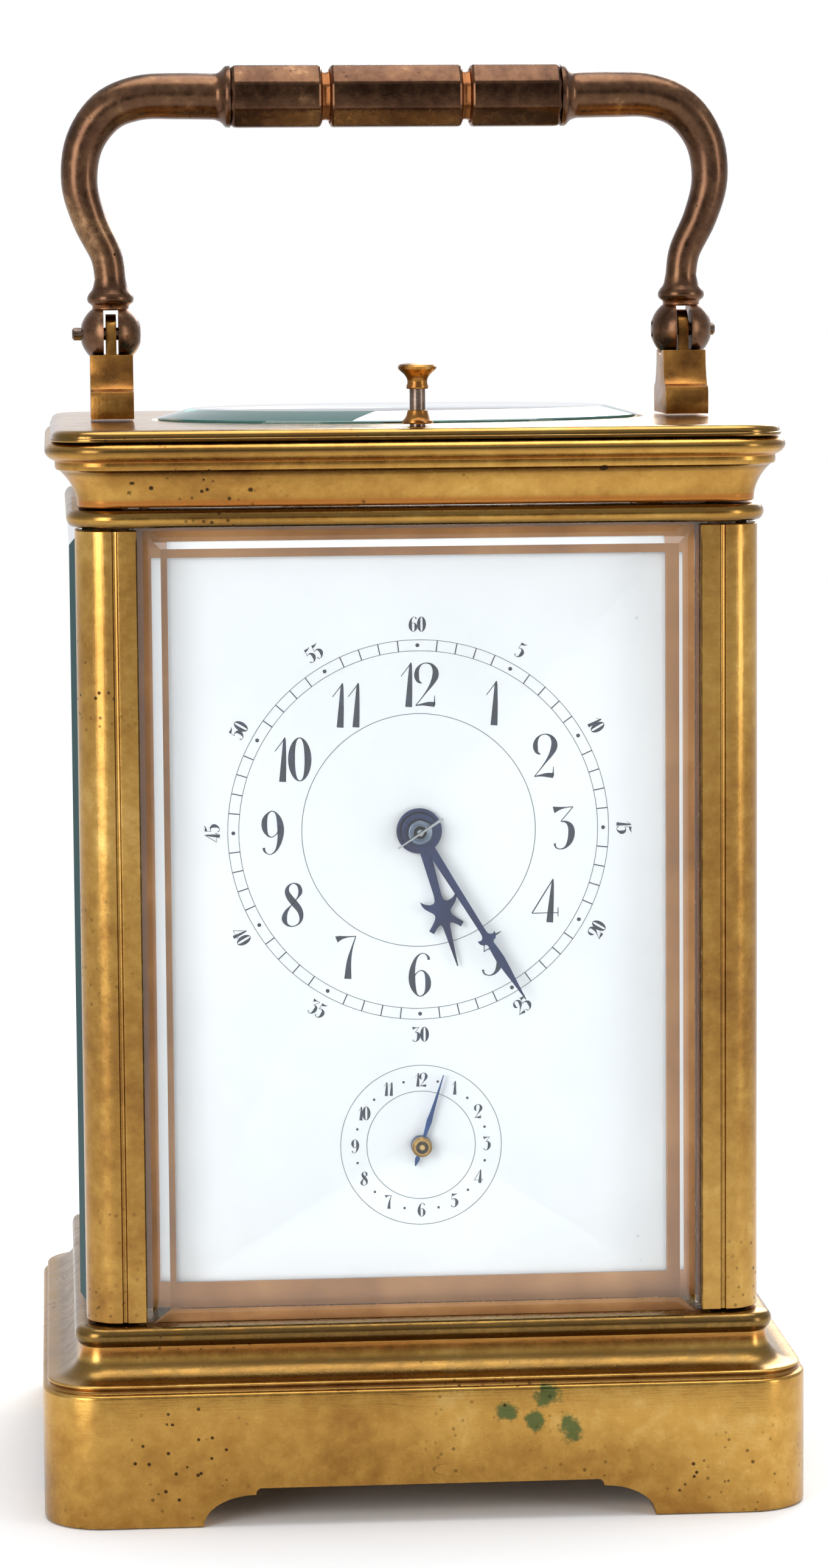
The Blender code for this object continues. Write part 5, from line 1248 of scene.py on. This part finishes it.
for train in ("going", "strike"):
    (drumFront, drumBack), gearSpan, driven = barrelShape[train]
    here, radius, bore = axes[f"{train}_barrel"], barrelShape["radius"], barrelShape["bore"]
    wall = turned([(bore, -drumBack)] + [(radius - inset, rise - drumBack) for inset, rise in barrelShape["backEnd"]]
                  + [(radius - inset, -drumFront - drop) for inset, drop in barrelShape["frontEnd"]]
                  + [(bore, -drumFront)], barrelShape["steps"], closed=True)
    gear = plateOf([gearOutline(barrelShape["teeth"], barrelShape["pitch"], toward(here, axes[driven])),
                    ringPoints(bore - 0.3, 32)], -gearSpan[1], -gearSpan[0])
    circle = ringPoints(radius - barrelShape["screwsIn"], barrelShape["screws"], (here.x, here.z),
                        barrelShape["screwsTurn"])
    screws = [(screwHead(0.75, 0.4, 40 * k), at(x, drumFront, z, facingFront)) for k, (x, z) in enumerate(circle)]
    makePiece(f"{train}_barrel_drum", onAxis(here, wall, gear), wheelBrass, [f"{train}_barrel"], smooth=36)
    makePiece(f"{train}_barrel_screws", joined(*screws), bluedSteel, body=f"{train}_barrel")
    arbor = turned(barrelShape["arbor"], barrelShape["arborSteps"])
    makePiece(f"{train}_winding_square", onAxis(here, arbor, blockOf(*barrelShape["square"])), polishedSteel,
              [f"{train}_arbor"])

# The alarm's drum and its setting arbor, whose knob behind has a milled edge.
alarmShape = {
    "drum": [(0, -17.4), (1.9, -17.4), (2.6, -17.2), (2.8, -16.9), (2.8, -15.6), (2.6, -15.3), (1.6, -15.0),
             (1.6, -3.0), (8.2, -3.0), (8.3, -2.8), (8.6, -2.8), (8.7, -3.0), (8.9, -3.0), (9.0, -2.85), (9.0, 9.9),
             (8.88, 10.05), (9.0, 10.2), (9.0, 10.85), (8.88, 11.0), (6.0, 11.0), (5.9, 10.7), (3.2, 10.7),
             (3.1, 11.0), (1.6, 11.0), (1.6, 12.0), (0, 12.0)],
    "knob": [(0, -18.6), (2.3, -18.6), (2.8, -18.4), (3.0, -18.1)],
    "milled": {"from": -18.0, "step": 0.13, "deep": 0.12},
    "arbor": [(2.7, -16.5), (1.6, -16.2), (0.9, -16.0), (0.9, 26.8), (0.37, 27.0), (0.37, 30.5), (0.28, 30.6),
              (0, 30.6)],
}
milled, knobRadius = alarmShape["milled"], alarmShape["knob"][-1][0]
edge = [(knobRadius - milled["deep"] * (k % 2), milled["from"] + milled["step"] * k) for k in range(1, 9)]
makePiece("alarm_drum", onAxis(axes["alarm_barrel"], turned(alarmShape["drum"], 64)), wheelBrass, ["alarm_barrel"],
          smooth=36)
makePiece("alarm_setting_arbor", onAxis(alarmMiddle, turned(alarmShape["knob"] + edge + alarmShape["arbor"], 40)),
          wheelBrass, ["alarm_arbor"], smooth=36)
print("barrels made")

# The motion work under the dial: teeth, pitch, and the wheel's back and front.
motionShape = {
    "cannon": [16, 2.4, (18.8, 20.4)], "minute": [48, 7.2, (19.2, 20.2)], "pinion": [16, 1.92, (20.0, 24.0)],
    "hour": [64, 7.68, (22.4, 23.6)], "cannonBore": 0.85, "hourBore": 1.5,
    "minuteWindows": (4, 2.9, 5.6, 1.1), "hourWindows": (4, 3.0, 6.0, 1.2),
    "cannonPipe": [(0.8, 20.0), (1.15, 20.0), (1.15, 30.5), (1.05, 30.6), (0.8, 30.6)],
    "stud": [(0, 18.3), (0.7, 18.3), (0.7, 24.4), (0.6, 24.6), (0, 24.6)],
    "hourPipe": [(1.45, 23.0), (1.85, 23.0), (1.85, 29.5), (1.75, 29.6), (1.45, 29.6)],
}
centre, stud = hourMiddle, axes["minute_wheel"]


def motionWheel(name, here, there, holes=(), gap=False):
    teeth, pitch, span = motionShape[name]
    return plateOf([gearOutline(teeth, pitch, toward(here, there), gap), *holes], *span)


gear = motionWheel("cannon", centre, stud, [ringPoints(motionShape["cannonBore"], 24)])
makePiece("cannon_pinion_pipe", onAxis(centre, gear, turned(motionShape["cannonPipe"], 32, closed=True)), wheelBrass,
          ["cannon_pinion"], smooth=36)
gear = motionWheel("minute", stud, centre, spokeWindows(*motionShape["minuteWindows"]), gap=True)
leaves = motionWheel("pinion", stud, centre, gap=True)
makePiece("minute_wheel_brass", onAxis(stud, gear, leaves, turned(motionShape["stud"], 24)), wheelBrass,
          ["minute_wheel"], smooth=36)
gear = motionWheel("hour", centre, stud, [ringPoints(motionShape["hourBore"], 32),
                                          *spokeWindows(*motionShape["hourWindows"])])
makePiece("hour_wheel_brass", onAxis(centre, gear, turned(motionShape["hourPipe"], 36, closed=True)), wheelBrass,
          ["hour_wheel"], smooth=36)

# The movement's plates, its four posts and their screws.
for side in ("front", "back"):
    makePiece(f"{side}_movement_plate", easedNode(f"movement_{side}_plate", 0.18, 2), plateBrass,
              [f"movement_{side}_plate"])
backHigh = boxOf("movement_back_plate")[1].y
postShape = {
    "places": [(-26, 24.5), (26, 24.5), (-26, 109), (26, 109)], "steps": 36,
    "profile": [(0, -11.7), (2.76, -11.7), (2.86, -11.4), (2.76, -10.4), (2.16, -10.0), (2.06, -9.4), (2.06, 13.0),
                (2.16, 13.6), (2.76, 14.0), (2.86, 15.2), (2.76, 15.7), (0, 15.7)],
}
posts, nuts = [], []
for k, (x, z) in enumerate(postShape["places"]):
    posts.append(frontward(turned(postShape["profile"], postShape["steps"]), x, z))
    nuts.append((screwHead(2.1, 0.9, 25 + 50 * k, 0.2), at(x, backHigh + 0.02, z, facingBack)))
makePiece("movement_pillars", joined(*posts), wheelBrass, body="case", smooth=36)
makePiece("pillar_screws", joined(*nuts), bluedSteel, body="case")


# Sinks round the pivots on the back plate: a polished ring with a dark oil hollow.
def pivotSink(x, z, radius=1.7):
    ring = turned([(0, -0.05), (radius, -0.05), (radius, 0.1), (radius - 0.2, 0.18), (radius - 0.55, 0.16),
                   (0.42, 0.02), (0.38, 0.16), (0.24, 0.26), (0, 0.28)], 28)
    return ring, at(x, backHigh, z, facingBack)


sinks = [pivotSink(axes[body].x, axes[body].z) for body in
         ("third_wheel", "contrate_wheel", "strike_wheel", "pin_wheel", "fly")]
makePiece("pivot_sinks", joined(*sinks), wheelBrass, body="case", smooth=36)
print("plates made")

# The fly, whose vane slows the strike.
flyShape = {"vane": [(-4.4, -0.25, 2.0), (4.4, 0.25, 12.0), 0.1, 1], "leaves": (12, 1.5, 3.2, 5.8),
            "arbor": (-15.7, 8.4, 0.6)}
here = axes["fly"]
leaf = pinionOf(*flyShape["leaves"], toward(here, axes["pin_wheel"]))
makePiece("fly_vane_arbor", onAxis(here, blockOf(*flyShape["vane"]), leaf, arborOf(*flyShape["arbor"])), polishedSteel,
          ["fly"])

# The hammer hangs from its arbor and strikes the gong from inside.
here = axes["hammer"]
hammerShape = {
    "reach": 12.0, "lean": -1.6, "armSpan": (-19.6, -18.4), "armEase": 0.15,
    "arm": [(-0.75, 0.6), (0.75, 0.6), (0.5, -3.5), (-0.45, -8.0), (-1.0, -12.0), (-2.2, -12.0), (-1.75, -8.0),
            (-0.8, -3.5)],
    "shaft": [(0, -22.0), (0.75, -22.0), (0.9, -21.8), (0.9, -14.5), (0.75, -14.3), (0, -14.3)],
    "head": [(0, -21.0), (1.3, -21.0), (1.6, -20.7), (1.65, -20.3), (1.65, -17.6), (1.55, -17.2), (1.3, -17.0),
             (0, -17.0)],
}
arm = plateOf([hammerShape["arm"]], *hammerShape["armSpan"], hammerShape["armEase"], 2)
head = turned(hammerShape["head"], 36)
bmesh.ops.translate(head, vec=(hammerShape["lean"], -hammerShape["reach"], 0), verts=head.verts[:])
makePiece("hammer_arm_arbor", onAxis(here, arm, turned(hammerShape["shaft"], 28)), polishedSteel, ["hammer"])
makePiece("hammer_head_brass", onAxis(here, head), wheelBrass, body="hammer", slot="polished_steel")

gongLow, gongHigh = boxOf("gong")
gongShape = {"turns": 3, "steps": 64, "inner": 18.2, "growth": 2.2, "wire": 0.7, "sides": 12,
             "centre": (0.0, (gongLow.y + gongHigh.y) / 2, 48.0)}
coil = []
for i in range(gongShape["turns"] * gongShape["steps"] + 1):
    angle = tau * i / gongShape["steps"] - pi / 2
    radius = gongShape["inner"] + gongShape["growth"] * i / gongShape["steps"]
    coil.append((gongShape["centre"][0] + radius * cos(angle), gongShape["centre"][1],
                 gongShape["centre"][2] + radius * sin(angle), gongShape["wire"]))
makePiece("gong_coil", barAlong(coil, gongShape["sides"]), bluedSteel, ["gong"], smooth=60)
foot = Vector(coil[0][:3])
# The block that holds the gong's inner end, its post and its screw.
gongBlock = {"low": Vector((-3.0, -1.9, -3.6)), "high": Vector((3.0, 1.9, 2.4)), "ease": 0.35, "postDown": 0.6,
             "post": [(0, 0), (1.5, 0), (1.5, 5.6), (0, 5.6)], "screw": (1.3, 0.7, 30, 0.24)}
postHeight = foot.z - gongBlock["postDown"]
block = joined(blockOf(foot + gongBlock["low"], foot + gongBlock["high"], gongBlock["ease"], 3),
               (turned(gongBlock["post"], 32), at(foot.x, foot.y, postHeight, facingFront)))
screw = (screwHead(*gongBlock["screw"]), at(foot.x, foot.y + gongBlock["high"].y, postHeight, facingBack))
makePiece("gong_block", block, wheelBrass, body="case")
makePiece("gong_block_screw", joined(screw), bluedSteel, body="case")
print("gong made")

# The platform with its escapement stands upright: all heights there start from the deck.
deck = boxOf("platform")[1].z
makePiece("escapement_platform", easedNode("platform", 0.16, 2), plateBrass, ["platform"])
platformScrews = [(-14.6, -15.0), (14.6, -15.0), (-14.6, 11.0), (14.6, 11.0)]
corners = [(screwHead(1.35, 0.75, 20 + 47 * k, 0.24), at(x, y, deck)) for k, (x, y) in enumerate(platformScrews)]
makePiece("platform_screws", joined(*corners), bluedSteel, body="case")

here = axes["escape_wheel"]
escapeShape = {
    "teeth": 15, "tooth": [(0.0, 3.5), (0.10, 3.48), (0.16, 3.2), (0.30, 2.62), (0.86, 2.56), (0.95, 2.9)],
    "windows": (4, 1.0, 2.15, 0.42), "span": (deck + 1.0, deck + 1.5),
    "leaves": (12, 1.8125), "leafSpan": (108.4, 111.0),
    "staff": [(0, 107.9), (0.3, 107.9), (0.5, 108.3), (0.5, deck + 2.3), (0.2, deck + 2.6), (0, deck + 2.6)],
}
clubTeeth = [polar(radius, tau * (i + share) / escapeShape["teeth"])
             for i in range(escapeShape["teeth"]) for share, radius in escapeShape["tooth"]]
wheel = plateOf([clubTeeth] + spokeWindows(*escapeShape["windows"], steps=6), *escapeShape["span"])
makePiece("escape_wheel_brass", onStaff(here, wheel), wheelBrass, ["escape_wheel"], smooth=30)
leaves = plateOf([gearOutline(*escapeShape["leaves"], pi / 2, gap=True)], *escapeShape["leafSpan"])
makePiece("escape_arbor_pinion", onStaff(here, turned(escapeShape["staff"], 20), leaves), polishedSteel,
          body="escape_wheel", smooth=36)
makePiece("lever_fork", easedNode("lever", 0.06, 1), polishedSteel, ["lever"])

here = axes["balance"]
balanceShape = {
    "radius": 6.55, "rim": 0.85, "arm": 1.0, "hub": 1.0, "low": deck + 4.0, "high": deck + 4.9, "ease": 0.08,
    "screws": 12, "screwsAt": 6.5, "screw": [(0, 0), (0.36, 0), (0.4, 0.06), (0.4, 0.44), (0.3, 0.5), (0, 0.5)],
    "staff": [(0, deck + 0.4), (0.18, deck + 0.4), (0.4, deck + 1.0), (0.4, deck + 6.6), (0.15, deck + 7.0),
              (0, deck + 7.0)],
    "roller": [(0, deck + 2.9), (1.3, deck + 2.9), (1.35, deck + 3.0), (1.35, deck + 3.3), (0, deck + 3.3)],
}
low, high, radius = (balanceShape[part] for part in ("low", "high", "radius"))
rim = plateOf([ringPoints(radius, 80)]
              + spokeWindows(2, balanceShape["hub"], radius - balanceShape["rim"], balanceShape["arm"], steps=24),
              low, high, balanceShape["ease"], 2)
weights = []
for k in range(balanceShape["screws"]):
    angle = tau * (k + 0.5) / balanceShape["screws"]
    x, y = polar(balanceShape["screwsAt"], angle)
    weights.append((turned(balanceShape["screw"], 16), at(here.x + x, here.y + y, (low + high) / 2,
                                                          Matrix.Rotation(angle, 4, "Z") @ facingRight)))
makePiece("balance_rim", joined(upright(rim, here.x, here.y), *weights), wheelBrass, ["balance_wheel"], smooth=36)
makePiece("balance_staff_roller", onStaff(here, turned(balanceShape["staff"], 20), turned(balanceShape["roller"], 32)),
          polishedSteel, body="balance")

# The hairspring winds out from the staff.
spiral = {"turns": 4, "steps": 48, "inner": 0.9, "growth": 0.75, "band": 0.07, "low": deck + 5.6, "tall": 0.5}
pairs = []
for i in range(spiral["turns"] * spiral["steps"] + 1):
    radius, angle = spiral["inner"] + spiral["growth"] * i / spiral["steps"], tau * i / spiral["steps"]
    pairs.append([(*polar(radius + band, angle), spiral["low"]) for band in (spiral["band"], -spiral["band"])])
makePiece("hairspring", onStaff(here, ribbonOf(pairs, spiral["tall"])), bluedSteel, ["balance_spring"])

makePiece("balance_bridge", easedNode("balance_cock", 0.2, 3), plateBrass, ["balance_cock"])
cockHigh = boxOf("balance_cock")[1].z
jewelShape = {"setting": [(0.75, 0), (1.9, 0), (1.95, 0.12), (1.8, 0.3), (1.0, 0.34), (0.75, 0.2)], "screwsAside": 1.4,
              "stone": [(0, 0), (1, 0), (0.96, 0.2), (0.7, 0.33), (0, 0.38)], "sunk": 0.05, "screw": (0.36, 0.3)}
cap = joined((turned(jewelShape["setting"], 40, closed=True), at(here.x, here.y, cockHigh)))
for k in (-1, 1):
    addPart(cap, screwHead(*jewelShape["screw"], 60 * k),
            at(here.x + jewelShape["screwsAside"] * k, here.y, cockHigh + 0.2))
makePiece("jewel_setting", cap, polishedSteel, body="case")
stones = bmesh.new()
bridge = axes["escape_wheel"]
for x, y, z, radius in ((here.x, here.y, cockHigh, 0.74), (bridge.x + 4.4, bridge.y - 4.6, deck, 0.6)):
    addPart(stones, turned([(radius * share, height) for share, height in jewelShape["stone"]], 28),
            at(x, y, z - jewelShape["sunk"]))
makePiece("ruby_stones", stones, rubyStone, body="case", smooth=60)
cockScrew = (screwHead(1.25, 0.7, 15, 0.24), at(here.x, boxOf("balance_cock")[1].y - 2.0, cockHigh))
makePiece("bridge_screw", joined(cockScrew), bluedSteel, body="case")

# The escape wheel's own small bridge stands over it on two feet.
bridgeShape = {"reach": 5.2, "width": 2.2, "low": deck + 2.75, "high": deck + 3.45}
strap = plateOf([roundedOutline(bridgeShape["reach"] + 1.2, bridgeShape["width"] / 2, 0.9, 5)],
                bridgeShape["low"], bridgeShape["high"], 0.12, 2)
tilt = Matrix.Rotation(radians(40), 4, "Z")
feetParts = [upright(strap, bridge.x, bridge.y, tilt)]
for k in (-1, 1):
    spot = tilt @ Vector((bridgeShape["reach"] * k, 0, 0))
    foot, top = deck - 0.02, bridgeShape["low"] + 0.1
    post = turned([(0, foot), (0.9, foot), (0.9, top), (0, top)], 24)
    feetParts.append(upright(post, bridge.x + spot.x, bridge.y + spot.y))
    feetParts.append((screwHead(0.7, 0.4, 30 * k), at(bridge.x + spot.x, bridge.y + spot.y, bridgeShape["high"])))
makePiece("escape_bridge", joined(*feetParts), plateBrass, body="case")
print("platform made")


# The floor, the lights and the camera.
studio = {
    "floorSize": 16.0, "floorDrop": 0.05, "fadeFrom": 0.12, "fadeTo": 0.45, "floorColour": (0.93, 0.93, 0.935),
    "backdrop": (1.0, 1.0, 1.0),
    "skyHigh": (0.95, 0.97, 1.0), "skyMiddle": (0.80, 0.81, 0.83), "skyLow": (0.50, 0.49, 0.48),
    "roomDark": (0.13, 0.115, 0.10), "skyStrength": 0.68, "backGlow": (1.45, 1.46, 1.52),
    # name, place, width, height, watts
    "lamps": [("keyLamp", (-0.66, -0.80, 0.26), 0.46, 0.80, 6.6), ("fillLamp", (0.86, -0.62, 0.24), 0.22, 0.65, 2.4),
              ("topLamp", (0.05, 0.05, 1.10), 0.80, 0.80, 7.6), ("backLamp", (0.35, 0.95, 0.60), 0.60, 0.60, 6.0)],
}
floorMesh = bmesh.new()
bmesh.ops.create_grid(floorMesh, x_segments=1, y_segments=1, size=studio["floorSize"] / 2 / mm)
bmesh.ops.translate(floorMesh, vec=(0, 0, plinthLow.z - studio["floorDrop"]), verts=floorMesh.verts[:])
floor = looseObject("studio_floor", floorMesh)
floorFinish, tree, shader, place = newFinish("floorPaper")
wire(tree, shader, colour=rampOf(tree, noiseOf(tree, place, 3.0, 3, 0.5),
                                 (0.3, tuple(0.985 * c for c in studio["floorColour"])), (0.7, studio["floorColour"])))
shader.inputs["Roughness"].default_value = 0.9
shader.inputs["Specular IOR Level"].default_value = 0.1
away = addNode(tree, "VectorMath", {0: place}, operation="LENGTH").outputs["Value"]
fade = addNode(tree, "MapRange", {"Value": away, "From Min": studio["fadeFrom"], "From Max": studio["fadeTo"]},
               clamp=True, interpolation_type="SMOOTHSTEP")
bright = addNode(tree, "Emission", {"Color": (*studio["backdrop"], 1.0), "Strength": 1.0})
paper = addNode(tree, "MixShader", {"Fac": fade.outputs["Result"]})
tree.links.new(shader.outputs["BSDF"], paper.inputs[1])
tree.links.new(bright.outputs["Emission"], paper.inputs[2])
tree.links.new(paper.outputs["Shader"], tree.nodes["Material Output"].inputs["Surface"])
floor.data.materials.append(floorFinish)

world = bpy.data.worlds.new("studioWorld")
scene.world = world
world.use_nodes = True
tree = world.node_tree
tree.nodes.clear()
direction = tree.nodes.new("ShaderNodeTexCoord").outputs["Generated"]
parts = addNode(tree, "SeparateXYZ", {"Vector": direction}).outputs
climb = addNode(tree, "MapRange", {"Value": parts["Z"], "From Min": -0.3, "From Max": 0.9})
sky = rampOf(tree, climb.outputs["Result"], (0.0, studio["skyLow"]), (0.25, studio["skyMiddle"]),
             (1.0, studio["skyHigh"]))
ahead = addNode(tree, "MapRange", {"Value": parts["Y"], "From Min": -0.45, "From Max": -0.95}, clamp=True)
level = addNode(tree, "MapRange", {"Value": parts["Z"], "From Min": 0.55, "From Max": 0.12}, clamp=True)
sky = mixOf(tree, sumOf(tree, "MULTIPLY", ahead.outputs["Result"], level.outputs["Result"]), sky, studio["roomDark"])
behind = addNode(tree, "MapRange", {"Value": parts["Y"], "From Min": 0.35, "From Max": 0.85}, clamp=True)
sky = mixOf(tree, sumOf(tree, "MULTIPLY", behind.outputs["Result"], level.outputs["Result"]), sky, studio["backGlow"])
lit = addNode(tree, "Background", {"Color": sky, "Strength": studio["skyStrength"]})
seen = addNode(tree, "Background", {"Color": (*studio["backdrop"], 1.0), "Strength": 1.0})
ray = addNode(tree, "LightPath")
plain = sumOf(tree, "MAXIMUM", ray.outputs["Is Camera Ray"], ray.outputs["Is Transmission Ray"])
chosen = addNode(tree, "MixShader", {"Fac": plain})
tree.links.new(lit.outputs["Background"], chosen.inputs[1])
tree.links.new(seen.outputs["Background"], chosen.inputs[2])
output = tree.nodes.new("ShaderNodeOutputWorld")
tree.links.new(chosen.outputs["Shader"], output.inputs["Surface"])

aim = Vector((0, 0, (plinthLow.z + corniceHigh.z) / 2 * mm))
for name, spot, wide, tall, watts in studio["lamps"]:
    lamp = bpy.data.lights.new(name, "AREA")
    lamp.shape = "RECTANGLE"
    lamp.size, lamp.size_y = wide, tall
    lamp.energy = watts
    holder = bpy.data.objects.new(name, lamp)
    holder.location = spot
    holder.visible_camera = False
    holder.rotation_euler = (aim - Vector(spot)).to_track_quat("-Z", "Y").to_euler()
    scene.collection.objects.link(holder)

cameraShape = {"spot": (-43.8, -599.8, 152.7), "yaw": -4.339, "pitch": -6.326, "roll": 0.436, "lens": 107.97,
               "film": 36.0}
cameraData = bpy.data.cameras.new("studioCamera")
cameraData.lens = cameraShape["lens"]
cameraData.sensor_width = cameraShape["film"]
cameraData.clip_start, cameraData.clip_end = 0.02, 20
camera = bpy.data.objects.new("studioCamera", cameraData)
yaw, pitch, roll = (Matrix.Rotation(radians(cameraShape[part]), 4, axis)
                    for part, axis in (("yaw", "Z"), ("pitch", "X"), ("roll", "Y")))
looking = yaw @ pitch @ roll @ Matrix.Rotation(pi / 2, 4, "X")
camera.matrix_world = Matrix.Translation(Vector(cameraShape["spot"]) * mm) @ looking
scene.collection.objects.link(camera)
scene.camera = camera
scene.view_settings.view_transform = "Standard"
scene.view_settings.look = "None"
print("studio set")
